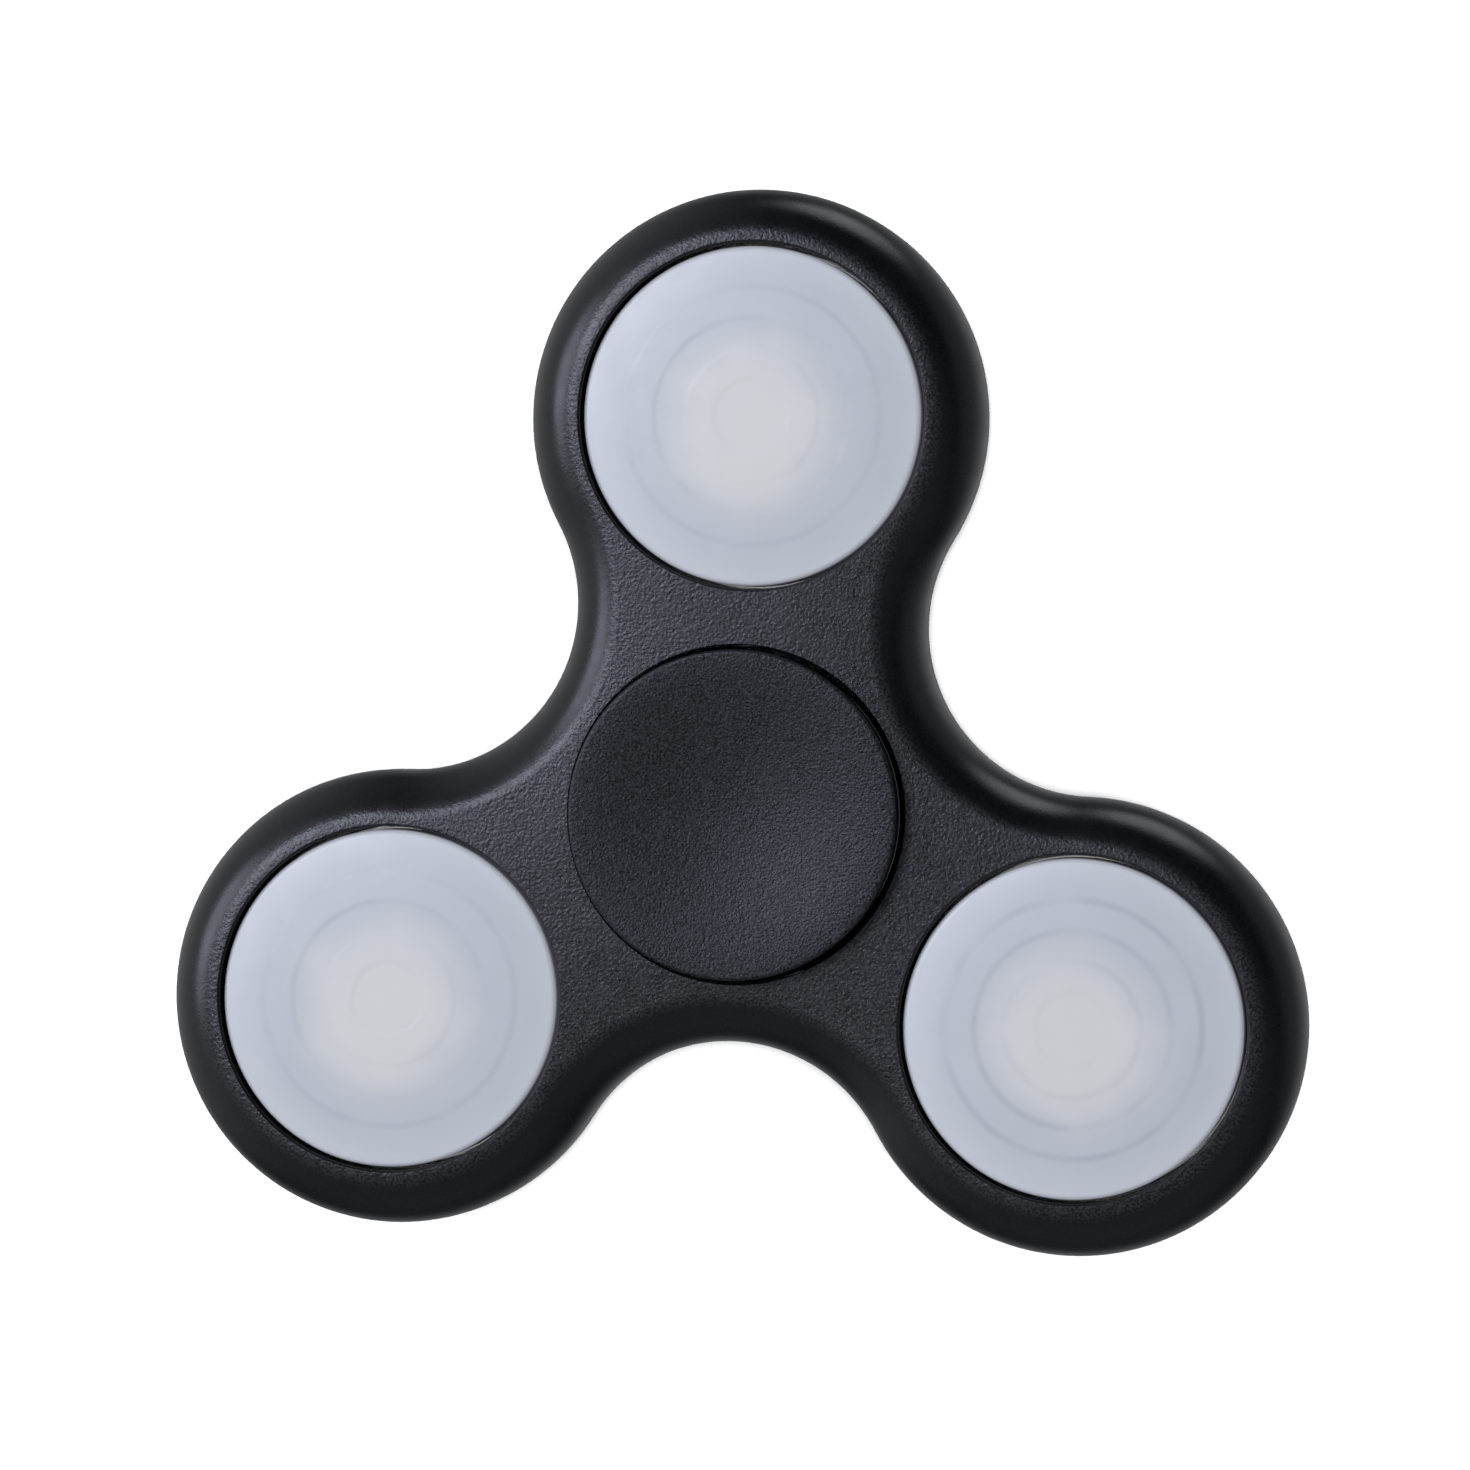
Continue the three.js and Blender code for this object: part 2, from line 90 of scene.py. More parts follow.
CAP_R = CAP_HIGH.x
CAP_RIM_Z = CAP_HIGH.z
LENS_R = LENS_HIGH.x
LENS_TOP_Z = LENS_HIGH.z
LENS_SKIRT_Z = LENS_LOW.z

SMOOTH_ANGLE = math.radians(32)
PAINTED_GLOW_AREA = "painted_glow_middle"  # names of the values stored on the lenses: where the painted glow lies, and where the relief lines run
LINES = "relief_lines"
AXIS_R = 1e-6  # a point this near the axis is on it


def polar(r, angle):
    return r * math.cos(angle), r * math.sin(angle)


def lobe_angle(n):
    """Direction of lobe n, counted from 1."""
    return math.radians(90 + 360 / LOBES * (n - 1))


def lobe_centre(n):
    return polar(SPACING, lobe_angle(n))


# ---- Materials ----


class Look:
    """A material being built: a Principled shader and the nodes that feed it."""

    def __init__(self, name, color, roughness, **sockets):
        self.material = bpy.data.materials.new(name)
        self.material.use_nodes = True
        self.nodes = self.material.node_tree.nodes
        self.links = self.material.node_tree.links
        self.shader = self.nodes["Principled BSDF"]
        self.shader.inputs["Base Color"].default_value = (*color, 1)
        self.shader.inputs["Roughness"].default_value = roughness
        for socket, value in sockets.items():
            self.shader.inputs[socket.replace("_", " ")].default_value = value
        self.place = self.nodes.new("ShaderNodeTexCoord").outputs["Object"]
        self.heights = []

    def feed(self, socket, source):
        self.links.new(source, self.shader.inputs[socket])

    def noise(self, blotch, detail=3.0, rough=0.55):
        """Cloudy noise whose blotches are about that many millimetres across."""
        made = self.nodes.new("ShaderNodeTexNoise")
        made.inputs["Scale"].default_value = 1 / (blotch * MM)
        made.inputs["Detail"].default_value = detail
        made.inputs["Roughness"].default_value = rough
        self.links.new(self.place, made.inputs["Vector"])
        return made.outputs["Fac"]

    def pebbles(self, across, smooth=0.6):
        """Rounded cells about that many millimetres across, low at the middle of each."""
        made = self.nodes.new("ShaderNodeTexVoronoi")
        made.feature = "SMOOTH_F1"
        made.inputs["Scale"].default_value = 1 / (across * MM)
        made.inputs["Smoothness"].default_value = smooth
        self.links.new(self.place, made.inputs["Vector"])
        return made.outputs["Distance"]

    def stripes(self, apart, axis):
        """Soft stripes that many millimetres apart across an axis."""
        made = self.nodes.new("ShaderNodeTexWave")
        made.bands_direction = axis
        made.inputs["Scale"].default_value = math.pi / (10 * apart * MM)
        made.inputs["Distortion"].default_value = 0.4
        self.links.new(self.place, made.inputs["Vector"])
        return made.outputs["Fac"]

    def remap(self, source, low, high, to_low, to_high):
        """source between low and high, turned smoothly into to_low and to_high."""
        made = self.nodes.new("ShaderNodeMapRange")
        made.interpolation_type = "SMOOTHSTEP"
        for name, value in zip(("From Min", "From Max", "To Min", "To Max"), (low, high, to_low, to_high)):
            made.inputs[name].default_value = value
        self.links.new(source, made.inputs["Value"])
        return made.outputs["Result"]

    def math(self, operation, first, second):
        made = self.nodes.new("ShaderNodeMath")
        made.operation = operation
        for socket, value in zip(made.inputs, (first, second)):
            if isinstance(value, (int, float)):
                socket.default_value = value
            else:
                self.links.new(value, socket)
        return made.outputs[0]

    def blend(self, share, first, second):
        """The colour first where share is 0 and second where it is 1."""
        made = self.nodes.new("ShaderNodeMix")
        made.data_type = "RGBA"
        self.links.new(share, made.inputs["Factor"])
        for socket, value in ((made.inputs[6], first), (made.inputs[7], second)):
            if isinstance(value, tuple):
                socket.default_value = (*value, 1)
            else:
                self.links.new(value, socket)
        return made.outputs[2]

    def upward(self):
        """How far the surface faces straight up or down, from 0 to 1."""
        coordinates = self.nodes.new("ShaderNodeTexCoord")
        parts = self.nodes.new("ShaderNodeSeparateXYZ")
        self.links.new(coordinates.outputs["Normal"], parts.inputs[0])
        return self.math("ABSOLUTE", parts.outputs["Z"], 0)

    def attribute(self, name):
        """A value stored on the mesh's points."""
        made = self.nodes.new("ShaderNodeAttribute")
        made.attribute_name = name
        return made.outputs["Fac"]

    def radius_from(self, x_mm, y_mm):
        """Distance from a line along Z, in millimetres."""
        away = self.nodes.new("ShaderNodeVectorMath")
        away.operation = "SUBTRACT"
        away.inputs[1].default_value = (x_mm * MM, y_mm * MM, 0)
        self.links.new(self.place, away.inputs[0])
        flat = self.nodes.new("ShaderNodeVectorMath")
        flat.operation = "MULTIPLY"
        flat.inputs[1].default_value = (1 / MM, 1 / MM, 0)
        self.links.new(away.outputs[0], flat.inputs[0])
        length = self.nodes.new("ShaderNodeVectorMath")
        length.operation = "LENGTH"
        self.links.new(flat.outputs[0], length.inputs[0])
        return length.outputs["Value"]

    def bump(self, height, depth_mm, strength=1.0):
        """Adds relief of up to depth_mm where height goes from 0 to 1."""
        made = self.nodes.new("ShaderNodeBump")
        made.inputs["Strength"].default_value = strength
        made.inputs["Distance"].default_value = depth_mm * MM
        self.links.new(height, made.inputs["Height"])
        if self.heights:
            self.links.new(self.heights[-1], made.inputs["Normal"])
        self.heights.append(made.outputs["Normal"])
        self.feed("Normal", made.outputs["Normal"])


CROWN_REACH = 6.0  # how far in from the rounded edge the flats fall away
CROWN_DEPTH = 0.18  # twice the fall from the middle of a neck to the start of its rounded edge


def frame_crown(look):
    """Height of the flats, which are very slightly crowned: highest along the middle of each neck."""
    inset = EDGE_IN + CROWN_REACH
    for n in range(1, LOBES + 1):
        x, y = polar(SPACING, lobe_angle(n) + math.radians(60))
        inset = look.math("MINIMUM", look.math("SUBTRACT", look.radius_from(x, y), WAIST_R), inset)
    inset = look.math("MAXIMUM", inset, EDGE_IN)
    return look.remap(inset, EDGE_IN - CROWN_REACH, EDGE_IN + CROWN_REACH, 0.0, 1.0)


def black_frame_plastic():
    """Black ABS: a speckled moulded grain on the flats, fine satin on the rounded edges."""
    look = Look("frame_plastic", (0.003, 0.003, 0.0035), 0.28, IOR=1.5)
    flats = look.remap(look.upward(), 0.93, 0.996, 0.12, 1.0)
    grain = look.math("ADD", look.noise(0.2, detail=2.0), look.math("MULTIPLY", look.pebbles(0.26), 0.5))
    look.bump(look.math("MULTIPLY", grain, flats), 0.023)
    look.bump(look.noise(0.15, detail=1.5), 0.009)
    look.bump(frame_crown(look), CROWN_DEPTH)
    satin = look.remap(look.noise(1.6), 0.3, 0.7, 0.25, 0.31)
    look.feed("Roughness", look.math("ADD", satin, look.math("MULTIPLY", flats, 0.03)))
    look.feed("Specular IOR Level", look.remap(flats, 0.0, 1.0, 0.5, 0.43))
    speckle = look.remap(look.noise(0.17, detail=1.5), 0.36, 0.64, 0.0, 1.0)
    speckle = look.math("MULTIPLY", speckle, flats)
    look.feed("Base Color", look.blend(speckle, (0.0008, 0.0009, 0.0012), (0.0110, 0.0118, 0.0140)))
    return look.material


def black_cap_plastic():
    """Black ABS with a finer and duller grain."""
    look = Look("cap_plastic", (0.01, 0.01, 0.012), 0.36, IOR=1.5, Specular_IOR_Level=0.27)
    look.bump(look.noise(0.28, detail=1.0), 0.014)
    look.bump(look.noise(0.17, detail=1.5), 0.030)
    look.feed("Roughness", look.remap(look.noise(0.9), 0.3, 0.7, 0.32, 0.38))
    speckle = look.remap(look.noise(0.14, detail=1.5), 0.36, 0.64, 0.0, 1.0)
    look.feed("Base Color", look.blend(speckle, (0.0004, 0.0006, 0.0010), (0.0110, 0.0123, 0.0152)))
    return look.material


def milky_lens_plastic(n):
    """Milky translucent polypropylene with faint lines along its moulded rings, a painted glow in the
    middle, and a rim that is lighter where the skirt is thick and lighter still on the left side, from
    painted light.
    """
    x, y = lobe_centre(n)
    look = Look(f"lens_plastic_{n}", (0.5, 0.53, 0.61), 0.33, IOR=1.49)
    look.shader.inputs["Subsurface Weight"].default_value = 0.35
    look.shader.inputs["Subsurface Radius"].default_value = (0.9, 0.95, 1.0)
    look.shader.inputs["Subsurface Scale"].default_value = 0.5 * MM
    # Painted light: a whiter glow in the middle, standing in for light scattered up from the white case
    # beneath the lens.
    blotches = look.math("MULTIPLY", look.noise(4, detail=1.5), 3.0)
    wavy = look.math("ADD", look.radius_from(x + PAINTED_GLOW_SHIFT[0], y + PAINTED_GLOW_SHIFT[1]), blotches)
    glow = look.remap(wavy, 4.4, 9.0, 1.0, 0.0)
    middle = look.remap(look.attribute(PAINTED_GLOW_AREA), 0.0, 1.0, 0.5, 1.0)
    cloud = look.blend(look.noise(5, detail=1.0), (0.288, 0.306, 0.352), (0.306, 0.324, 0.371))
    # Lighter towards the rim, where the skirt is thick, and more so on the left side: painted light from the
    # left.
    thick = look.remap(look.radius_from(x + PAINTED_RIM_LIGHT_SHIFT, y), 8.6, 11.5, 0.0, 1.0)
    body = look.blend(thick, cloud, (0.332, 0.350, 0.398))
    lit = look.blend(look.math("MULTIPLY", glow, middle), body, (0.372, 0.378, 0.396))
    patchy = look.remap(look.noise(4, detail=1.0), 0.35, 0.62, 0.35 * LINE_DEPTH[n], LINE_DEPTH[n])
    outward = look.remap(look.radius_from(x, y), 3.5, 7.5, 0.22, 1.0)
    lines = look.math("MULTIPLY", look.attribute(LINES), look.math("MULTIPLY", patchy, outward))
    look.feed("Base Color", look.blend(lines, lit, (0.225, 0.245, 0.285)))
    look.feed("Roughness", look.remap(look.noise(2.5), 0.3, 0.7, 0.34, 0.42))
    look.bump(look.noise(0.5, detail=2.0), 0.002)
    return look.material


def white_case_plastic():
    """White ABS with a fine matte grain and a little yellowing."""
    look = Look("case_plastic", (0.7, 0.7, 0.7), 0.45, IOR=1.5)
    look.bump(look.noise(0.16, detail=2.0), 0.012)
    look.feed("Base Color", look.blend(look.noise(3.0), (0.66, 0.665, 0.675), (0.74, 0.735, 0.715)))
    look.feed("Roughness", look.remap(look.noise(1.0), 0.3, 0.7, 0.4, 0.52))
    return look.material


def moulded_plastic(name, dark, light, roughness, grain_mm=0.15):
    """A small moulded part: two close colours, a fine grain and uneven gloss."""
    look = Look(name, dark, roughness, IOR=1.5)
    look.bump(look.noise(grain_mm, detail=2.0), 0.008)
    look.feed("Base Color", look.blend(look.noise(4 * grain_mm), dark, light))
    uneven = look.remap(look.noise(6 * grain_mm), 0.3, 0.7, roughness - 0.05, roughness + 0.07)
    look.feed("Roughness", uneven)
    return look.material


def worked_metal(name, dark, light, roughness, marks_mm=0.3):
    """A metal with faint handling marks: two close colours, uneven gloss and a trace of bump."""
    look = Look(name, dark, roughness, Metallic=1.0)
    marks = look.noise(marks_mm, detail=5.0, rough=0.7)
    look.bump(marks, 0.003)
    look.feed("Base Color", look.blend(look.noise(8 * marks_mm), dark, light))
    look.feed("Roughness", look.remap(marks, 0.3, 0.7, roughness - 0.06, roughness + 0.10))
    return look.material


def turned_metal(name, dark, light, roughness, groove_mm):
    """Steel with fine turning marks that run round the spin axis."""
    look = Look(name, dark, roughness, Metallic=1.0)
    radius = look.radius_from(0, 0)
    rings = look.math("SINE", look.math("MULTIPLY", radius, 2 * math.pi / groove_mm), 0)
    look.bump(look.math("MULTIPLY", rings, look.noise(1.5)), 0.0015)
    look.feed("Base Color", look.blend(look.noise(2.0), dark, light))
    look.feed("Roughness", look.remap(look.noise(0.5), 0.3, 0.7, roughness - 0.05, roughness + 0.08))
    return look.material


def solder_mask():
    """Green solder mask over the weave of the glass laminate."""
    look = Look("board_mask", (0.02, 0.14, 0.06), 0.3, IOR=1.5)
    weave = look.math("ADD", look.stripes(0.5, "X"), look.stripes(0.5, "Y"))
    look.bump(weave, 0.003)
    look.feed("Base Color", look.blend(look.noise(2.5), (0.012, 0.105, 0.045), (0.02, 0.15, 0.07)))
    look.feed("Roughness", look.remap(weave, 0.2, 1.6, 0.26, 0.36))
    return look.material


def clear_silicone(name, color):
    """The clear filling of an LED, tinted by the phosphor or chip under it."""
    look = Look(name, color, 0.15, IOR=1.41)
    look.shader.inputs["Transmission Weight"].default_value = 0.35
    look.feed("Base Color", look.blend(look.noise(0.6), color, tuple(min(1, c * 1.25) for c in color)))
    look.bump(look.noise(0.5), 0.004)
    return look.material


def floor_paper():
    """Plain white paper."""
    look = Look("floor_paper", (0.9, 0.9, 0.9), 0.9)
    look.bump(look.noise(1.2), 0.01)
    return look.material


# ---- Shape helpers: millimetres in, a mesh in metres out ----


def profile_arc(r0, z0, radius, start, end, steps):
    """Points along an arc of a turned profile, angles in degrees."""
    turns = [math.radians(start + (end - start) * i / steps) for i in range(steps + 1)]
    return [(r0 + radius * math.cos(t), z0 + radius * math.sin(t)) for t in turns]


def soften(profile, radius, closed, steps=3):
    """The same profile with its corners rounded off to radius, where there is room."""
    count = len(profile)
    made = []
    for i, here in enumerate(profile):
        if not closed and i in (0, count - 1):
            made.append(here)
            continue
        corner = Vector(here)
        back = Vector(profile[i - 1]) - corner
        on = Vector(profile[(i + 1) % count]) - corner
        turn = math.pi - back.angle(on)
        reach = min(radius * math.tan(turn / 2), back.length * 0.45, on.length * 0.45)
        if turn < math.radians(20) or reach < 0.005:
            made.append(here)
            continue
        first = corner + back.normalized() * reach
        last = corner + on.normalized() * reach
        for k in range(steps + 1):
            t = k / steps
            point = first * (1 - t) ** 2 + corner * 2 * t * (1 - t) + last * t**2
            made.append(tuple(point))
    return made


def finish_piece(name, mesh, body, nodes, slot, *materials):
    """Makes the piece that stands for the CAD nodes and moves with the body."""
    for material in materials:
        mesh.materials.append(material)
    for face in mesh.polygons:
        face.use_smooth = True
    mesh.set_sharp_from_angle(angle=SMOOTH_ANGLE)
    piece = bpy.data.objects.new(name, mesh)
    bpy.context.scene.collection.objects.link(piece)
    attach(piece, body)
    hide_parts(*nodes)
    return piece


def add_weighted_normals(piece):
    """Keeps large flat faces flat where they run into rounded edges."""
    modifier = piece.modifiers.new("weighted_normals", "WEIGHTED_NORMAL")
    modifier.keep_sharp = True
    modifier.weight = 100


def lathe(profile, segments, height=None, place=(0, 0), part=None):
    """Turns a profile of (r, z) about a line along Z.

    A profile that starts off the axis is closed on itself. height(x, y, z) is added to each point,
    for relief. part(r, z) gives the material of a band of faces."""
    bm = bmesh.new()
    closed = profile[0][0] > AXIS_R
    rings = []
    for r, z in profile:
        ring = []
        for i in range(segments if r > AXIS_R else 1):
            x, y = polar(r, 2 * math.pi * i / segments)
            lift = height(x, y, z) if height else 0
            ring.append(bm.verts.new(((place[0] + x) * MM, (place[1] + y) * MM, (z + lift) * MM)))
        rings.append(ring)
    bands = list(zip(profile, profile[1:], rings, rings[1:]))
    if closed:
        bands.append((profile[-1], profile[0], rings[-1], rings[0]))
    for (r0, z0), (r1, z1), low, high in bands:
        if len(low) == len(high) == 1:
            continue
        for i in range(segments):
            j = (i + 1) % segments
            corners = [low[i % len(low)], low[j % len(low)], high[j % len(high)], high[i % len(high)]]
            face = bm.faces.new(list(dict.fromkeys(corners)))
            face.material_index = part((r0 + r1) / 2, (z0 + z1) / 2) if part else 0
    return bm


def stack(levels, part=0):
    """A closed shape through outlines of equal length at rising heights: levels of (points, z)."""
    bm = bmesh.new()
    rings = [[bm.verts.new((x * MM, y * MM, z * MM)) for x, y in points] for points, z in levels]
    bm.faces.new(list(reversed(rings[0])))
    bm.faces.new(rings[-1])
    for low, high in zip(rings, rings[1:]):
        for i in range(len(low)):
            j = (i + 1) % len(low)
            bm.faces.new((low[i], low[j], high[j], high[i]))
    for face in bm.faces:
        face.material_index = part
    return bm


def slab(points, low, high, edge=0.05, part=0):
    """A flat shape from low to high with its edges broken."""
    inner = shrink(points, edge)
    return stack([(inner, low), (points, low + edge), (points, high - edge), (inner, high)], part)


def shrink(points, distance):
    """A counter-clockwise outline moved in by a distance."""
    moved = []
    for i, here in enumerate(points):
        corner = Vector(here)
        back = (corner - Vector(points[i - 1])).normalized()
        on = (Vector(points[(i + 1) % len(points)]) - corner).normalized()
        normals = [Vector((-d.y, d.x)) for d in (back, on)]
        middle = (normals[0] + normals[1]).normalized()
        moved.append(tuple(corner + middle * (distance / max(0.4, middle.dot(normals[0])))))
    return moved


def circle(r, steps):
    return [polar(r, 2 * math.pi * i / steps) for i in range(steps)]


def strip(start, end, width, steps=10):
    """The outline of a strip with round ends from one point to another."""
    along = math.atan2(end[1] - start[1], end[0] - start[0])
    points = []
    for (x, y), first in ((end, along - math.pi / 2), (start, along + math.pi / 2)):
        for i in range(steps + 1):
            dx, dy = polar(width / 2, first + math.pi * i / steps)
            points.append((x + dx, y + dy))
    return points


def rectangle(wide, long, corner, steps=4):
    """A rectangle round the origin with rounded corners."""
    points = []
    for k, (sx, sy) in enumerate(((1, 1), (-1, 1), (-1, -1), (1, -1))):
        for i in range(steps + 1):
            dx, dy = polar(corner, math.pi / 2 * (k + i / steps))
            points.append((sx * (wide / 2 - corner) + dx, sy * (long / 2 - corner) + dy))
    return points


def ring_sector(inner, outer, middle, span, steps=8):
    """A sector of a flat ring, centred on an angle, in degrees."""
    turns = [math.radians(middle - span / 2 + span * i / steps) for i in range(steps + 1)]
    return [polar(outer, t) for t in turns] + [polar(inner, t) for t in reversed(turns)]


def turned(bm, degrees, place=(0, 0)):
    """bm turned about Z and then moved, in millimetres."""
    move = Matrix.Translation((place[0] * MM, place[1] * MM, 0))
    bm.transform(move @ Matrix.Rotation(math.radians(degrees), 4, "Z"))
    return bm


def gathered(*shapes):
    """One bm that holds several separate closed shapes."""
    whole = bmesh.new()
    for shape in shapes:
        mesh = bpy.data.meshes.new("part")
        shape.to_mesh(mesh)
        shape.free()
        whole.from_mesh(mesh)
        bpy.data.meshes.remove(mesh)
    return whole


def combined(bm, *tools, operation="DIFFERENCE"):
    """bm with closed shapes cut out of it, or joined to it."""
    base = temporary_object(bm)
    helpers = [base] + [temporary_object(tool) for tool in tools]
    for tool in helpers[1:]:
        modifier = base.modifiers.new("tool", "BOOLEAN")
        modifier.object = tool
        modifier.operation = operation
        modifier.solver = "EXACT"
    bpy.context.view_layer.update()
    result = base.evaluated_get(bpy.context.evaluated_depsgraph_get())
    made = bmesh.new()
    made.from_mesh(result.to_mesh())
    result.to_mesh_clear()
    for helper in helpers:
        mesh = helper.data
        bpy.data.objects.remove(helper)
        bpy.data.meshes.remove(mesh)
    bmesh.ops.remove_doubles(made, verts=made.verts, dist=1e-7)
    return made


def temporary_object(bm):
    bmesh.ops.recalc_face_normals(bm, faces=bm.faces)
    mesh = bpy.data.meshes.new("tool")
    bm.to_mesh(mesh)
    bm.free()
    tool = bpy.data.objects.new("tool", mesh)
    bpy.context.scene.collection.objects.link(tool)
    return tool


def mesh_from(bm, name, place=(0, 0), turn=0.0, flip=False):
    """A mesh of bm, flipped front to back, turned about Z and moved in millimetres as asked."""
    if flip:
        bm.transform(Matrix.Rotation(math.pi, 4, "X"))
    move = Matrix.Translation((place[0] * MM, place[1] * MM, 0))
    bm.transform(move @ Matrix.Rotation(turn, 4, "Z"))
    bmesh.ops.recalc_face_normals(bm, faces=bm.faces)
    mesh = bpy.data.meshes.new(name)
    bm.to_mesh(mesh)
    bm.free()
    return mesh


# ---- Frame ----


def outline(inset, step_degrees=2.5):
    """The frame's outline moved in by inset: lobes of 240 degrees joined by waists of 120 degrees."""
    points = []

    def arc(centre, radius, start, span):
        steps = round(abs(span) / step_degrees)
        for i in range(steps):
            x, y = polar(radius, start + math.radians(span * i / steps))
            points.append((centre[0] + x, centre[1] + y))

    for n in range(1, LOBES + 1):
        lobe = lobe_angle(n)
        waist = lobe + math.radians(60)
        arc(polar(SPACING, lobe), LOBE_R - inset, lobe - math.radians(120), 240)
        arc(polar(SPACING, waist), WAIST_R + inset, waist + math.radians(240), -120)
    return points


def hole_profile(radius, chamfer):
    """The wall of a through hole, from the lower face to the upper one, with softened chamfers."""
    edge = radius + chamfer
    below = FRAME_Z - chamfer
    softness = 0.04
    lower = [(edge + softness, -FRAME_Z), (edge, -FRAME_Z), (radius, -below)]
    upper = [(r, -z) for r, z in reversed(lower)]
    return soften(lower + upper, softness, closed=False)


def make_frame(material):
    edge_steps = 14
    levels = []
    for side in (-1, 1):
        for i in range(edge_steps + 1):
            share = edge_steps - i if side < 0 else i
            turn = math.radians(90 * share / edge_steps)
            rise = (FRAME_Z - EDGE_WALL_Z) * math.sin(turn)
            levels.append((EDGE_IN * (1 - math.cos(turn)), side * (EDGE_WALL_Z + rise)))
    bm = bmesh.new()
    rings = [[bm.verts.new((x * MM, y * MM, z * MM)) for x, y in outline(inset)] for inset, z in levels]
    for low, high in zip(rings, rings[1:]):
        for i in range(len(low)):
            j = (i + 1) % len(low)
            bm.faces.new((low[i], low[j], high[j], high[i]))
    holes = [((0, 0), HUB_HOLE_R, HUB_CHAMFER)]
    holes += [(lobe_centre(n), POCKET_R, RIM_CHAMFER) for n in range(1, LOBES + 1)]
    segments = 128
    lower, upper = [rings[0]], [rings[-1]]
    for centre, radius, chamfer in holes:
        walls = []
        for r, z in hole_profile(radius, chamfer):
            ring = [(centre[0] + x, centre[1] + y) for x, y in circle(r, segments)]
            walls.append([bm.verts.new((x * MM, y * MM, z * MM)) for x, y in ring])
        for low, high in zip(walls, walls[1:]):
            for i in range(segments):
                j = (i + 1) % segments
                bm.faces.new((low[j], low[i], high[i], high[j]))
        lower.append(walls[0])
        upper.append(walls[-1])
    for loops in (lower, upper):
        edges = []
        for loop in loops:
            pairs = zip(loop, loop[1:] + loop[:1])
            edges += [bm.edges.get(pair) for pair in pairs]
        bmesh.ops.triangle_fill(bm, use_beauty=True, edges=edges)
    mesh = mesh_from(bm, "frame_shell")
    shell = finish_piece("frame_shell", mesh, "rotor", ["spinner_frame"], "frame_plastic", material)
    add_weighted_normals(shell)


# ---- Finger caps ----

CAP_UNDER_Z = 5.35
CAP_DISH = 0.6
CAP_EDGE_R = 0.18
CAP_RIM_FLAT = 0.2


def cap_profile():
    """The cap from the bottom of its hollow plug, round its edge, to the middle of its dish."""
    rim = CAP_R - CAP_EDGE_R
    lip = rim - CAP_RIM_FLAT
    core_r, core_top = 2.4, 4.6
    plug_r, plug_end, lead_in = 3.97, 0.15, 0.3
    shoulder_r, shoulder_z = 5.2, 3.53
    chamfer = 0.2
    lower = [(0, core_top), (core_r, core_top), (core_r, plug_end), (plug_r - lead_in, plug_end)]
    lower += [(plug_r, plug_end + lead_in), (plug_r, shoulder_z), (shoulder_r, shoulder_z)]
    lower += [(shoulder_r, CAP_UNDER_Z), (CAP_R - chamfer, CAP_UNDER_Z), (CAP_R, CAP_UNDER_Z + chamfer)]
    edge = profile_arc(rim, CAP_RIM_Z - CAP_EDGE_R, CAP_EDGE_R, 0, 90, 8)
    dish_steps = 16
    dish = []
    for i in range(1, dish_steps + 1):
        share = i / dish_steps
        fall = math.sin(share * math.pi / 2) ** 1.4
        dish.append((lip * (1 - share), CAP_RIM_Z - CAP_DISH * fall))
    return soften(lower, 0.12, closed=False) + edge + [(lip, CAP_RIM_Z)] + dish


def make_finger_caps(material):
    for side in ("front", "rear"):
        mesh = mesh_from(lathe(cap_profile(), 160), f"{side}_cap", flip=side == "rear")
        node = f"{side}_finger_cap"
        cap = finish_piece(f"{side}_cap", mesh, "finger_hub", [node], "cap_plastic", material)
        add_weighted_normals(cap)


# ---- Lenses ----

LENS_SHOULDER_Z = 4.3
LINE_DEPTH = {1: 0.22, 2: 0.27, 3: 0.58}  # how plainly each lens shows its relief
PAINTED_GLOW_SHIFT = (-0.2, -0.8)  # the painted glow in the middle of a lens sits a little off its axis
PAINTED_GLOW_SOFT = 3.4  # width over which the painted glow fades
PAINTED_GLOW_R = 6.2  # radius of the painted glow
PAINTED_RIM_LIGHT_SHIFT = 0.5  # the painted lighter rim is centred a little off the axis, so it is lightest on the left side, where the light falls
RELIEF_STEP = 0.014
RELIEF_SOFT = 0.3  # width over which a step of the relief rises
RELIEF_RINGS = (8.4, 6.4, 4.4, 2.4)  # radii of the plain rings moulded in each lens


def ledge(distance, width=RELIEF_SOFT):
    """A soft step: 0 where distance is well below zero and 1 where it is well above."""
    share = min(1, max(0, distance / width + 0.5))
    return share * share * (3 - 2 * share)


def line(distance, half_width=0.38):
    """1 on a line and 0 away from it."""
    return max(0, 1 - (distance / half_width) ** 2) ** 2


def lens_relief(x, y):
    """Height of the moulded relief, in millimetres: plain rings round the lens's axis."""
    radius = math.hypot(x, y)
    height = 0
    for k, ring in enumerate(RELIEF_RINGS):
        step = ledge(ring - radius)
        height += step if k % 2 == 0 else -step
    return height * RELIEF_STEP


def relief_lines(x, y):
    """1 along the lines that the rings draw through the milky plastic."""
    radius = math.hypot(x, y)
    return min(1, sum(line(radius - ring) for ring in RELIEF_RINGS))


def store_on_points(mesh, name, value):
    """Stores value(x, y) on every point, in millimetres from the lens's axis."""
    values = [value(point.co.x / MM, point.co.y / MM) for point in mesh.vertices]
    mesh.attributes.new(name, "FLOAT", "POINT").data.foreach_set("value", values)


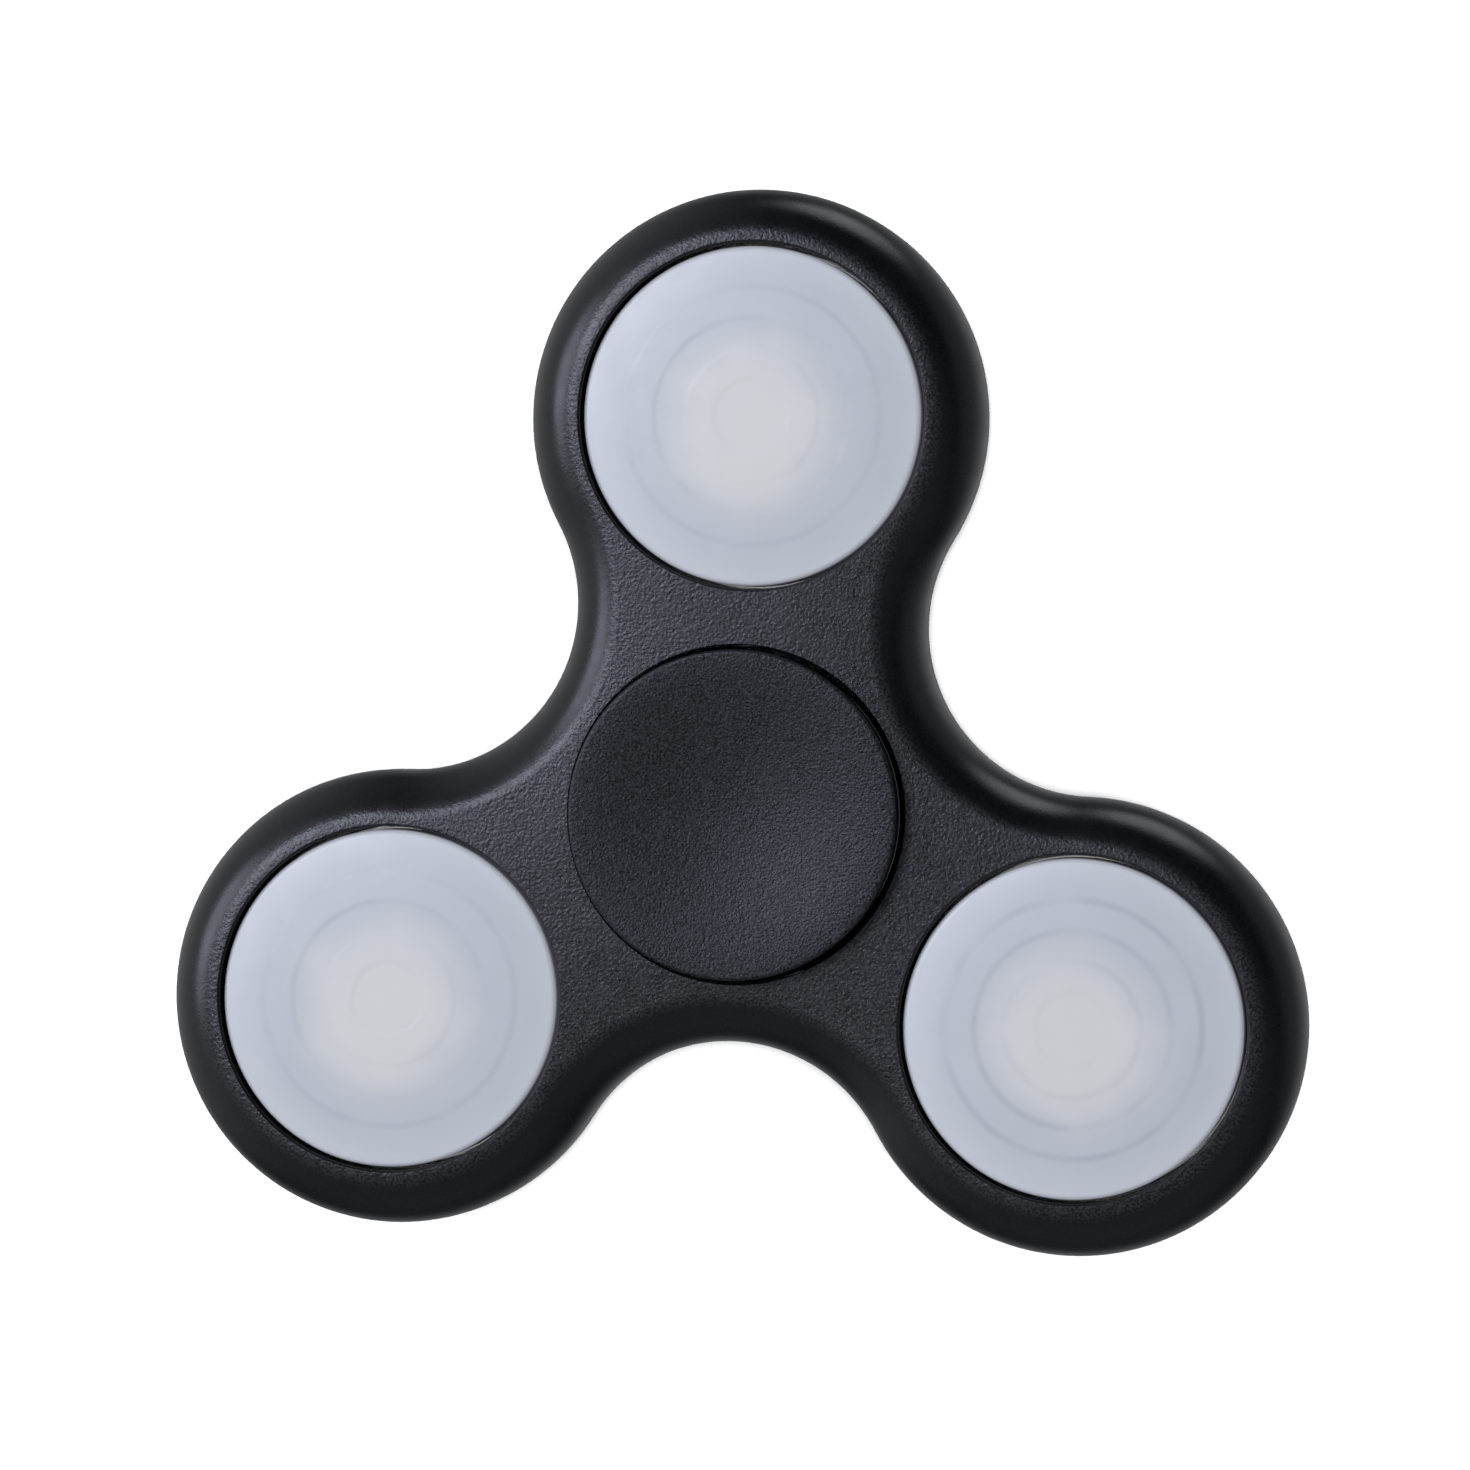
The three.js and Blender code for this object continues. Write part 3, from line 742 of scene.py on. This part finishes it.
def lens_profile():
    """The lens from under its roof, round its skirt, to the middle of its dome."""
    stem, roof, skirt_in, catch = (0.9, 3.5), 4.0, 10, (9.7, 2.0)
    inside = [(0, stem[1]), stem, (stem[0], roof), (skirt_in - 0.3, roof), (skirt_in, roof - 0.3)]
    inside += [(skirt_in, catch[1]), catch, (catch[0], LENS_SKIRT_Z + 0.2), (catch[0] + 0.2, LENS_SKIRT_Z)]
    inside += [(LENS_R, LENS_SKIRT_Z)]
    shoulder_r = 0.4
    relief_room = 0.04  # the relief stands on the dome
    shoulder = profile_arc(LENS_R - shoulder_r, LENS_SHOULDER_Z, shoulder_r, 0, 78, 8)
    start_r, start_z = shoulder[-1]
    dome_steps = 84
    dome = []
    for i in range(1, dome_steps + 1):
        share = i / dome_steps
        rise = 1 - (1 - share) ** 3
        dome.append((start_r * (1 - share), start_z + (LENS_TOP_Z - relief_room - start_z) * rise))
    return soften(inside, 0.1, closed=False) + shoulder + dome


def make_lenses():
    dome_floor = LENS_SHOULDER_Z + 0.3

    for n in range(1, LOBES + 1):

        def height(x, y, z):
            return lens_relief(x, y) if z > dome_floor else 0

        bm = lathe(lens_profile(), 420, height)
        mesh = mesh_from(bm, f"lens_{n}")
        # Marks where the painted glow lies on each lens.
        store_on_points(mesh, PAINTED_GLOW_AREA, lambda x, y: ledge(PAINTED_GLOW_R - math.hypot(x, y), PAINTED_GLOW_SOFT))
        store_on_points(mesh, LINES, relief_lines)
        x, y = lobe_centre(n)
        mesh.transform(Matrix.Translation((x * MM, y * MM, 0)))
        milky = milky_lens_plastic(n)
        finish_piece(f"lens_{n}", mesh, f"light_button_{n}", [f"light_lens_{n}"], "lens_plastic", milky)


# ---- Hub bearing ----

RING_SEGMENTS = 128
RACE_Z = size_mm("inner_race")[1].z
BALL_R = 1.9845
BALL_PITCH = 7.5
BALLS = 7
TRACK_R = BALL_R + 0.08
INNER_LAND = 6.05
OUTER_LAND = 8.95


def track(side, land, steps=14):
    """The ball groove of a race, from one land to the other; side is 0 for the outer race."""
    half = math.degrees(math.acos(abs(BALL_PITCH - land) / TRACK_R))
    first, last = (side + half, side - half)
    return profile_arc(BALL_PITCH, 0, TRACK_R, first, last, steps)


def inner_race_profile():
    bore = 4
    edge = 0.3
    lower = [(bore, edge - RACE_Z), (bore + edge, -RACE_Z)]
    lower += [(INNER_LAND - edge, -RACE_Z), (INNER_LAND, edge - RACE_Z)]
    upper = [(r, -z) for r, z in reversed(lower)]
    return soften(lower + track(180, INNER_LAND) + upper, 0.12, closed=True)


def outer_race_profile():
    outer = size_mm("outer_race")[1].x
    edge = 0.4
    recess = 9.6
    recess_z = 2.9
    upper = [(outer, RACE_Z - edge), (outer - edge, RACE_Z), (recess, RACE_Z)]
    upper += [(recess, recess_z), (OUTER_LAND, recess_z)]
    lower = [(r, -z) for r, z in reversed(upper)]
    return soften(upper + track(0, OUTER_LAND) + lower, 0.12, closed=True)


def shield_profile():
    """A pressed steel ring: an inner lip, a dished slope, a flat and a folded outer edge."""
    low, thick, dish = 2.98, 0.3, 0.25
    lip, slope_in, slope_out, flat_out, rim = 6.3, 7.0, 7.3, 9.1, 9.5
    seat = low + 0.02  # the folded edge stands a little proud on both sides
    high = low + thick
    face = high - 0.08
    below = [(lip, low - dish), (slope_in, low - dish), (slope_out, low), (flat_out, low)]
    below += [(flat_out + 0.15, seat), (rim, seat)]
    above = [(rim, high), (flat_out + 0.1, high), (flat_out - 0.05, face), (slope_out, face)]
    above += [(slope_in, face - dish), (lip, face - dish)]
    return soften(below + above, 0.08, closed=True)


def make_bearing(steel, shield_metal, nylon):
    for name, profile, body in (
        ("inner_race", inner_race_profile(), "finger_hub"),
        ("outer_race", outer_race_profile(), "rotor"),
    ):
        mesh = mesh_from(lathe(profile, RING_SEGMENTS), f"{name}_ring")
        finish_piece(f"{name}_ring", mesh, body, [name], "bearing_steel", steel)
    for side in ("front", "rear"):
        name = f"{side}_shield"
        mesh = mesh_from(lathe(shield_profile(), RING_SEGMENTS), f"{name}_pressing", flip=side == "rear")
        finish_piece(f"{name}_pressing", mesh, "rotor", [name], "shield_steel", shield_metal)
    mesh = mesh_from(crown_cage(), "crown_cage")
    finish_piece("crown_cage", mesh, "ball_cage", ["ball_cage"], "cage_nylon", nylon)
    for n in range(1, BALLS + 1):
        turns = 24
        arc = profile_arc(0, 0, BALL_R, -90, 90, turns)
        profile = [(0, -BALL_R)] + arc[1:-1] + [(0, BALL_R)]
        place = polar(BALL_PITCH, math.radians(90 + 360 / BALLS * (n - 1)))
        mesh = mesh_from(lathe(profile, 2 * turns, place=place), f"steel_ball_{n}")
        finish_piece(f"steel_ball_{n}", mesh, f"ball_{n}", [f"bearing_ball_{n}"], "bearing_steel", steel)


def crown_cage():
    """A moulded ring with a round pocket for each ball, open at the top so that it snaps over them."""
    inner, outer, low, high, pocket = 6.7, 8.3, -2.6, 1.3, 2.12
    section = [(inner, low), (outer, low), (outer, high), (inner, high)]
    ring = lathe(soften(section, 0.2, closed=True), RING_SEGMENTS)
    arc = profile_arc(0, 0, pocket, -90, 90, 18)
    ball = [(0, -pocket)] + arc[1:-1] + [(0, pocket)]
    places = [polar(BALL_PITCH, math.radians(90 + 360 / BALLS * n)) for n in range(BALLS)]
    return combined(ring, *[lathe(ball, 36, place=place) for place in places])


# ---- Lamp modules: everything is measured from the lobe's own axis, as it lies in lobe 1 ----


def in_module(node):
    """Lowest and highest corner of a node of lobe 1, from that lobe's axis, in millimetres."""
    low, high = size_mm(node)
    axis = Vector((0, SPACING, 0))
    return low - axis, high - axis


ROUND_SEGMENTS = 96
CASE_LOW, CASE_HIGH = in_module("module_case_1")
CELL_LOW, CELL_HIGH = in_module("button_cell_a_1")
BOARD_HIGH = in_module("circuit_board_1")[1]
COVER_LOW, COVER_HIGH = in_module("battery_cover_1")
LINK_LOW, LINK_HIGH = in_module("cell_link_strip_1")
SWITCH_LOW, SWITCH_HIGH = in_module("switch_body_1")
PLUNGER_LOW, PLUNGER_HIGH = in_module("switch_plunger_1")
LED_LOW, LED_HIGH = in_module("led_red_1")

CELL_R = 3.95
CELL_AT = 4.65
CELL_FACE_R = 3.2
CELL_STEP = 0.25
CELL_ANGLES = (90, 210, 330)
LUG_ANGLES = (90, 210, 330)
LUG_SPAN = 26


def cell_centre(k):
    return polar(CELL_AT, math.radians(CELL_ANGLES[k]))


def place_in_modules(label, node, build, body, slot, *materials):
    """Puts the same piece in every lamp module. In body, {} stands for the lobe's number."""
    for n in range(1, LOBES + 1):
        mesh = mesh_from(build(), f"{label}_{n}", lobe_centre(n), lobe_angle(n) - lobe_angle(1))
        finish_piece(f"{label}_{n}", mesh, body.format(n), [f"{node}_{n}"], slot, *materials)


def case_shape():
    """Battery bay below, tube for the board above, catch bead for the lens outside."""
    outer, bottom, top = CASE_HIGH.x, CASE_LOW.z, CASE_HIGH.z
    deck, tube, tube_in, bead, bead_z = 0.8, 9.6, 8.95, 9.9, 2.1
    bay, bay_top, ledge, ledge_top = 8.9, 0.75, 8.2, 1.2
    mouth, groove, groove_low, groove_high = 9.5, 10.15, -4.2, -3.6
    chamfer = 0.2
    profile = [(outer - chamfer, bottom), (outer, bottom + chamfer), (outer, deck), (tube, deck)]
    profile += [(tube, bead_z), (bead, bead_z), (bead, bead_z + chamfer), (tube, top - chamfer)]
    profile += [(tube, top), (tube_in, top), (tube_in, ledge_top), (ledge, ledge_top), (ledge, bay_top)]
    profile += [(bay, bay_top), (bay, groove_high), (groove, groove_high), (groove, groove_low)]
    profile += [(mouth, groove_low), (mouth, bottom)]
    shell = lathe(soften(profile, 0.12, closed=True), ROUND_SEGMENTS)
    rib_long, rib_wide, rib_at = 3.9, 1.2, 7.15
    ribs = []
    for angle in CELL_ANGLES:
        rib = slab(rectangle(rib_long, rib_wide, 0.3), CELL_LOW.z, bay_top + 0.1)
        ribs.append(turned(rib, angle + 60, polar(rib_at, math.radians(angle + 60))))
    past = 1
    notches = []
    for angle in LUG_ANGLES:
        sector = ring_sector(bay, groove, angle + 60, LUG_SPAN + 6)
        notches.append(stack([(sector, bottom - past), (sector, groove_high - 0.1)]))
    return combined(combined(shell, *ribs, operation="UNION"), *notches)


def cover_shape():
    """A disc with a pad inside, three locking lugs, and a coin slot with broken edges outside."""
    outer, pad, face, seat = 9.4, 8.6, COVER_LOW.z, -3.65
    chamfer = 0.25
    profile = [(0, face), (outer - chamfer, face), (outer, face + chamfer), (outer, seat)]
    profile += [(pad, seat), (pad, COVER_HIGH.z), (0, COVER_HIGH.z)]
    disc = lathe(soften(profile, 0.12, closed=False), ROUND_SEGMENTS)
    lug_out, lug_low, lug_high = 10, -4.15, seat
    lugs = [slab(ring_sector(outer - 0.5, lug_out, a, LUG_SPAN), lug_low, lug_high) for a in LUG_ANGLES]
    slot_long, slot_wide, slot_depth, slot_edge, past = 10, 1.6, 0.6, 0.15, 0.5
    opening = rectangle(slot_long, slot_wide, 0.35)
    wider = shrink(opening, -slot_edge)
    levels = [(wider, face - past), (wider, face), (opening, face + slot_edge), (opening, face + slot_depth)]
    return combined(combined(disc, *lugs, operation="UNION"), stack(levels))


def cell_shape(face_up):
    """A button cell: the can with its rolled crimp, the sealing ring and the raised negative face."""
    middle = (CELL_LOW.z + CELL_HIGH.z) / 2
    half = (CELL_HIGH.z - CELL_LOW.z) / 2
    side = 1 if face_up else -1
    seal_in, seal_out = CELL_FACE_R, CELL_FACE_R + 0.22
    crimp = half - CELL_STEP
    foot, roll, face_edge = 0.3, 0.35, 0.12
    seal_z = crimp - 0.06
    up = [(0, -half), (CELL_R - foot, -half), (CELL_R, foot - half), (CELL_R, crimp - roll)]
    up += [(CELL_R - 0.12, crimp - 0.08), (CELL_R - roll, crimp), (seal_out, crimp)]
    up += [(seal_out - 0.02, seal_z), (seal_in, seal_z), (seal_in, half - face_edge)]
    up += [(seal_in - face_edge, half), (0, half)]

    def part(r, z):
        return 1 if seal_in < r < seal_out and side * (z - middle) < crimp else 0

    profile = [(r, middle + side * z) for r, z in up]
    return lathe(soften(profile, 0.1, closed=False), 64, part=part)


def spring_strip(start, end, width, contacts):
    """A thin strip with a pressed dimple where it touches each cell."""
    rise = 0.05
    top_r, foot_r = 0.25, 0.6
    high, low = LINK_HIGH.z - rise, LINK_LOW.z + rise
    flat = slab(strip(start, end, width), LINK_LOW.z, high, edge=0.03)
    dimples = []
    for x, y in contacts:
        profile = [(0, LINK_HIGH.z), (top_r, LINK_HIGH.z), (foot_r, high), (foot_r, low), (0, low)]
        dimples.append(lathe(soften(profile, 0.15, closed=False), 24, place=(x, y)))
    return combined(flat, *dimples, operation="UNION")


def link_shape():
    ends = (cell_centre(0), cell_centre(1))
    return spring_strip(*ends, 2.4, ends)


def terminal_shape():
    """A pad under the third cell and a post between the cells up to the board."""
    end = cell_centre(2)
    post_r, post_foot, post_top, tip = 0.4, LINK_LOW.z + 0.02, BOARD_HIGH.z - 0.85, 0.1
    profile = [(0, post_foot), (post_r, post_foot), (post_r, post_top - tip)]
    profile += [(post_r - tip, post_top), (0, post_top)]
    post = lathe(profile, 24)
    return combined(spring_strip((0, 0), end, 1.2, [end]), post, operation="UNION")


TRACK_THICK = 0.03
SUNK = 0.01  # how far anything laid on the board reaches into it
LED_AT = 5.7
LED_ANGLES = {"red": 90, "green": 210, "blue": 330}
CHIP_AT = polar(5.9, math.radians(150))
BOARD_THICK = 0.8


def on_board(points, high, edge, part):
    """A thin flat shape laid on the board."""
    return slab(points, BOARD_HIGH.z - SUNK, BOARD_HIGH.z + high, edge=edge, part=part)


def board_shape():
    """The laminate disc with its tracks, plated pads, and the contacts soldered under it."""
    mask, plated, contact = 0, 1, 2
    top = BOARD_HIGH.z
    disc = circle(BOARD_HIGH.x, ROUND_SEGMENTS)
    parts = [slab(disc, top - BOARD_THICK, top, edge=0.06, part=mask)]
    pad_out, supply_r, start_r = 2.0, 8.2, 2.6
    for angle in LED_ANGLES.values():
        direction = math.radians(angle)
        inner, outer = polar(LED_AT - pad_out, direction), polar(LED_AT + pad_out, direction)
        for end in (inner, outer):
            pad = on_board(rectangle(0.9, 2.2, 0.1), TRACK_THICK, 0.01, plated)
            parts.append(turned(pad, angle, end))
        signal = strip(polar(start_r, direction), inner, 0.35, steps=5)
        parts.append(on_board(signal, 0.02, 0.008, mask))
        supply = [polar(supply_r, direction + math.radians(10 * k)) for k in range(7)]
        for start, stop in zip(supply, supply[1:]):
            parts.append(on_board(strip(start, stop, 0.3, steps=5), 0.02, 0.008, mask))
    leg_x, leg_y = 1.75, 2.25
    for x, y in ((-leg_x, -leg_y), (leg_x, -leg_y), (-leg_x, leg_y), (leg_x, leg_y)):
        pad = on_board(rectangle(0.9, 0.8, 0.1), TRACK_THICK, 0.01, plated)
        parts.append(turned(pad, 0, (x, y)))
    for k in range(5):
        via = on_board(circle(0.3, 16), TRACK_THICK, 0.01, plated)
        parts.append(turned(via, 0, polar(7.4, math.radians(20 + 17 * k))))
    low, high = CELL_HIGH.z + 0.05, CELL_HIGH.z + 0.25
    first, second, third = (cell_centre(k) for k in range(3))
    for start, stop in ((first, (first[0] + 0.01, first[1] + 1.2)), (second, third)):
        parts.append(slab(strip(start, stop, 2.4), low, high, edge=0.03, part=contact))
    post_r, fillet_r, fillet = 0.6, 0.95, 0.12
    under = top - BOARD_THICK
    foot = [(0, low + 0.02), (post_r, low + 0.02), (post_r, high), (0.75, under - fillet)]
    foot += [(fillet_r, under + SUNK), (0, under + SUNK)]
    for place in (first, second, third):
        parts.append(lathe(foot, 24, place=place, part=lambda r, z: plated if z > high else contact))
    return gathered(*parts)


def switch_shape():
    """A black base, and a steel plate held on it by four rivets, with a round hole for the plunger."""
    side, plate_low, plate_high = SWITCH_HIGH.x * 2, SWITCH_HIGH.z - 0.2, SWITCH_HIGH.z - 0.05
    cavity, hole, past = 1.25, 0.85, 0.5
    bore = stack([(circle(cavity, 48), SWITCH_LOW.z - past), (circle(cavity, 48), plate_low + past)])
    base = combined(slab(rectangle(side, side, 0.25), SWITCH_LOW.z, plate_low, edge=0.06), bore)
    opening = stack([(circle(hole, 48), plate_low - past), (circle(hole, 48), plate_high + past)])
    plate = combined(slab(rectangle(side - 0.1, side - 0.1, 0.3), plate_low, plate_high, edge=0.03), opening)
    for face in plate.faces:
        face.material_index = 1
    rivets = []
    rivet_at, head_r, foot_r, foot_z = 1.5, 0.12, 0.22, plate_high - 0.01
    profile = [(0, SWITCH_HIGH.z), (head_r, SWITCH_HIGH.z), (foot_r, foot_z), (0, foot_z)]
    for x, y in ((-1, -1), (1, -1), (1, 1), (-1, 1)):
        place = (x * rivet_at, y * rivet_at)
        rivets.append(lathe(soften(profile, 0.04, closed=False), 20, place=place))
    return gathered(base, plate, *rivets)


def plunger_shape():
    stem, flange, flange_low, flange_high = 0.75, 1.1, PLUNGER_LOW.z, PLUNGER_LOW.z + 0.2
    profile = [(0, flange_low), (flange, flange_low), (flange, flange_high), (stem, flange_high)]
    profile += [(stem, PLUNGER_HIGH.z - 0.1), (stem - 0.1, PLUNGER_HIGH.z), (0, PLUNGER_HIGH.z)]
    return lathe(soften(profile, 0.06, closed=False), 48)


def led_shape(angle):
    """A white body with a cut corner, a round cup full of clear silicone, and a plated foot at each end."""
    wide, long, corner = 2.8, 3.5, 0.6
    foot, cup_depth = 0.08, 0.5
    x, y = wide / 2, long / 2 - foot
    low, high = LED_LOW.z, LED_HIGH.z
    body = slab([(-x, -y), (x, -y), (x, y - corner), (x - corner, y), (-x, y)], low, high, edge=0.05)
    cup_r, mouth_r, past = 0.95, 1.2, 0.3
    cup = [(circle(cup_r, 40), high - cup_depth), (circle(mouth_r, 40), high)]
    cup.append((circle(mouth_r + past / 2, 40), high + past))
    body = combined(body, stack(cup))
    gap = 0.01  # the filling stays clear of its cup
    filling = [(0, high - cup_depth + gap), (cup_r - gap, high - cup_depth + gap), (1.14, high - 0.08)]
    filling += [(0.8, high - 0.11), (0, high - 0.12)]  # it sags a little towards its middle
    feet = []
    for end in (-1, 1):
        flange = slab(rectangle(1.9, 0.5, 0.05), low - 0.02, low + 0.7, edge=0.02, part=2)
        feet.append(turned(flange, 0, (0, end * (long / 2 - 0.25))))
    silicone = lathe(filling, 40, part=lambda r, z: 1)
    return turned(gathered(body, silicone, *feet), angle, polar(LED_AT, math.radians(angle)))


def chip_shape():
    """The uneven drop of epoxy over the control chip."""
    radius, height, foot = 2, 0.9, 0.1
    low = SWITCH_LOW.z

    def uneven(x, y, z):
        share = (z - low) / height
        return 0.05 * share * math.sin(1.9 * x + 0.7) * math.sin(1.6 * y) - 0.04 * share

    dome = []
    steps = 15
    for i in range(steps):
        turn = math.radians(90 * i / steps)
        dome.append((radius * math.cos(turn), low + foot + (height - foot) * math.sin(turn)))
    profile = [(0, low), (radius - 0.05, low)] + dome + [(0, low + height)]
    return lathe(profile, 48, uneven, place=CHIP_AT)


def make_modules():
    white = white_case_plastic()
    cell_steel = worked_metal("cell_steel", (0.56, 0.57, 0.58), (0.64, 0.645, 0.65), 0.25, 0.5)
    seal = moulded_plastic("cell_seal", (0.03, 0.04, 0.07), (0.05, 0.06, 0.1), 0.45)
    brass = worked_metal("contact_brass", (0.66, 0.48, 0.21), (0.74, 0.55, 0.26), 0.3, 0.4)
    plating = worked_metal("plated_pad", (0.62, 0.62, 0.60), (0.72, 0.72, 0.69), 0.35, 0.2)
    mask = solder_mask()
    switch_black = moulded_plastic("switch_plastic", (0.012, 0.012, 0.013), (0.022, 0.022, 0.024), 0.45)
    switch_steel = worked_metal("switch_plate", (0.52, 0.52, 0.52), (0.6, 0.6, 0.6), 0.3, 0.2)
    plunger_black = moulded_plastic("plunger_plastic", (0.01, 0.01, 0.011), (0.018, 0.018, 0.02), 0.4, 0.1)
    led_white = moulded_plastic("led_body", (0.68, 0.68, 0.66), (0.76, 0.76, 0.74), 0.4, 0.1)
    epoxy = moulded_plastic("chip_epoxy", (0.006, 0.006, 0.007), (0.014, 0.014, 0.016), 0.2, 0.5)
    place_in_modules("lamp_case", "module_case", case_shape, "rotor", "case_plastic", white)
    place_in_modules("twist_cover", "battery_cover", cover_shape, "cover_{}", "case_plastic", white)
    for k, letter in enumerate("abc"):

        def one_cell(k=k):
            return turned(cell_shape(face_up=k == 1), 0, cell_centre(k))

        node = f"button_cell_{letter}"
        place_in_modules(f"cell_{letter}", node, one_cell, "rotor", "cell_steel", cell_steel, seal)
    place_in_modules("series_strip", "cell_link_strip", link_shape, "rotor", "contact_brass", brass)
    place_in_modules("return_strip", "return_terminal", terminal_shape, "rotor", "contact_brass", brass)
    place_in_modules("board", "circuit_board", board_shape, "rotor", "board_laminate", mask, plating, brass)
    materials = (switch_black, switch_steel)
    place_in_modules("tact_switch", "switch_body", switch_shape, "rotor", "switch_plastic", *materials)
    body = "plunger_{}"
    place_in_modules("tact_plunger", "switch_plunger", plunger_shape, body, "plunger_plastic", plunger_black)
    tints = {"red": (0.75, 0.35, 0.32), "green": (0.45, 0.72, 0.40), "blue": (0.38, 0.5, 0.78)}
    for color, angle in LED_ANGLES.items():
        silicone = clear_silicone(f"led_silicone_{color}", tints[color])

        def one_led(angle=angle):
            return led_shape(angle)

        materials = (led_white, silicone, plating)
        place_in_modules(f"{color}_led", f"led_{color}", one_led, "rotor", "led_body", *materials)
    place_in_modules("chip_drop", "control_chip", chip_shape, "rotor", "chip_epoxy", epoxy)


# ---- Stage ----

CAMERA_TILT = math.radians(7.8)  # from straight above
CAMERA_TOWARDS = math.radians(10.6)  # the way it leans, from +X
CAMERA_ROLL = math.radians(-2.2)
CAMERA_DISTANCE = 0.454
CAMERA_LENS_MM = 168.8
CAMERA_SENSOR_MM = 36
CAMERA_AIM = (-0.72 * MM, 5.15 * MM)  # right and up of the spin axis, in the picture's directions


def make_camera():
    out = Vector((0, 0, 1))
    out.rotate(Matrix.Rotation(CAMERA_TILT, 3, "Y"))
    out.rotate(Matrix.Rotation(CAMERA_TOWARDS, 3, "Z"))
    right = Vector((0, 1, 0)).cross(out).normalized()
    up = out.cross(right)
    cos, sin = math.cos(CAMERA_ROLL), math.sin(CAMERA_ROLL)
    picture_right = right * cos - up * sin
    picture_up = right * sin + up * cos
    place = out * CAMERA_DISTANCE
    back = (place - picture_right * CAMERA_AIM[0] - picture_up * CAMERA_AIM[1]).normalized()
    side = picture_up.cross(back).normalized()
    data = bpy.data.cameras.new("camera")
    data.lens = CAMERA_LENS_MM
    data.sensor_width = CAMERA_SENSOR_MM
    data.clip_start = 0.01
    camera = bpy.data.objects.new("camera", data)
    turn = Matrix((side, back.cross(side), back)).transposed().to_4x4()
    camera.matrix_world = Matrix.Translation(place) @ turn
    bpy.context.scene.collection.objects.link(camera)
    bpy.context.scene.camera = camera


def towards(azimuth, elevation):
    """Unit direction from degrees round Z and degrees above the floor."""
    across = math.cos(math.radians(elevation))
    x, y = polar(across, math.radians(azimuth))
    return Vector((x, y, math.sin(math.radians(elevation))))


def make_area_light(name, direction, distance, size, watts, color=(1, 1, 1), glossy=True, diffuse=True):
    """A soft light that faces the object from a direction, seen by gloss, by matt surfaces or by both."""
    data = bpy.data.lights.new(name, "AREA")
    data.shape = "ELLIPSE"
    data.size, data.size_y = size
    data.energy = watts
    data.color = color
    light = bpy.data.objects.new(name, data)
    light.location = direction * distance
    light.rotation_mode = "QUATERNION"
    light.rotation_quaternion = direction.to_track_quat("Z", "Y")
    light.visible_glossy = glossy
    light.visible_diffuse = diffuse
    bpy.context.scene.collection.objects.link(light)


# What stands round the studio: azimuth, elevation, half-width of the bright part and of its
# fading edge, all in degrees, and brightness.
STUDIO_WALLS = (
    (165, 5, 20, 75, 0.55),  # the wall by the windows
    (275, 40, 20, 85, 0.20),  # the wall below the picture
    (75, -13, 7, 22, 2.0),  # a lit card beyond lobe 1
    (20, -25, 20, 50, 0.22),  # the table on the right
    (0, -90, 10, 62, 0.30),  # the table under the object
)
STUDIO_BASE = 0.04
SKY = (0.87, 0.93, 1.13)  # the colour of daylight through the windows
STUDIO_TINT = (0.93, 0.96, 1.0, 1)


def make_studio_walls():
    """A dim world that is a little brighter towards each wall."""
    world = bpy.data.worlds.new("studio")
    world.use_nodes = True
    nodes, links = world.node_tree.nodes, world.node_tree.links
    direction = nodes.new("ShaderNodeTexCoord").outputs["Generated"]
    total = None
    for azimuth, elevation, bright, fade, level in STUDIO_WALLS:
        along = nodes.new("ShaderNodeVectorMath")
        along.operation = "DOT_PRODUCT"
        along.inputs[1].default_value = towards(azimuth, elevation)
        links.new(direction, along.inputs[0])
        wall = nodes.new("ShaderNodeMapRange")
        wall.interpolation_type = "SMOOTHSTEP"
        wall.inputs["From Min"].default_value = math.cos(math.radians(fade))
        wall.inputs["From Max"].default_value = math.cos(math.radians(bright))
        wall.inputs["To Max"].default_value = level
        links.new(along.outputs["Value"], wall.inputs["Value"])
        both = nodes.new("ShaderNodeMath")
        both.inputs[1].default_value = STUDIO_BASE
        if total:
            links.new(total, both.inputs[1])
        links.new(wall.outputs["Result"], both.inputs[0])
        total = both.outputs[0]
    background = nodes["Background"]
    background.inputs["Color"].default_value = STUDIO_TINT
    links.new(total, background.inputs["Strength"])
    bpy.context.scene.world = world


def make_stage():
    floor_half = 1.5
    mesh = bpy.data.meshes.new("floor")
    corners = [(-1, -1), (1, -1), (1, 1), (-1, 1)]
    z = CAD_BOX[0].z
    mesh.from_pydata([(x * floor_half, y * floor_half, z) for x, y in corners], [], [(0, 1, 2, 3)])
    mesh.materials.append(floor_paper())
    floor = bpy.data.objects.new("floor", mesh)
    floor.visible_glossy = False
    bpy.context.scene.collection.objects.link(floor)
    make_studio_walls()
    bpy.context.scene.view_settings.view_transform = "Standard"
    make_area_light("high_window", towards(150, 64), 0.9, (0.36, 0.36), 3.3, SKY, diffuse=False)
    make_area_light("low_window", towards(169, 33), 0.9, (0.50, 0.46), 2.0, SKY, diffuse=False)
    make_area_light("window_glow", towards(165, 34), 0.9, (0.5, 0.5), 4.2, glossy=False)
    make_area_light("front_fill", towards(11, 82), 1.2, (0.2, 0.2), 16.5, glossy=False)


make_camera()
make_stage()
make_frame(black_frame_plastic())
make_finger_caps(black_cap_plastic())
make_lenses()

bearing_steel = turned_metal("bearing_steel", (0.50, 0.51, 0.52), (0.58, 0.59, 0.60), 0.18, 0.12)
shield_metal = turned_metal("shield_steel", (0.46, 0.46, 0.46), (0.54, 0.54, 0.54), 0.3, 0.2)
cage_nylon = moulded_plastic("cage_nylon", (0.62, 0.56, 0.44), (0.70, 0.64, 0.52), 0.45)
make_bearing(bearing_steel, shield_metal, cage_nylon)
make_modules()
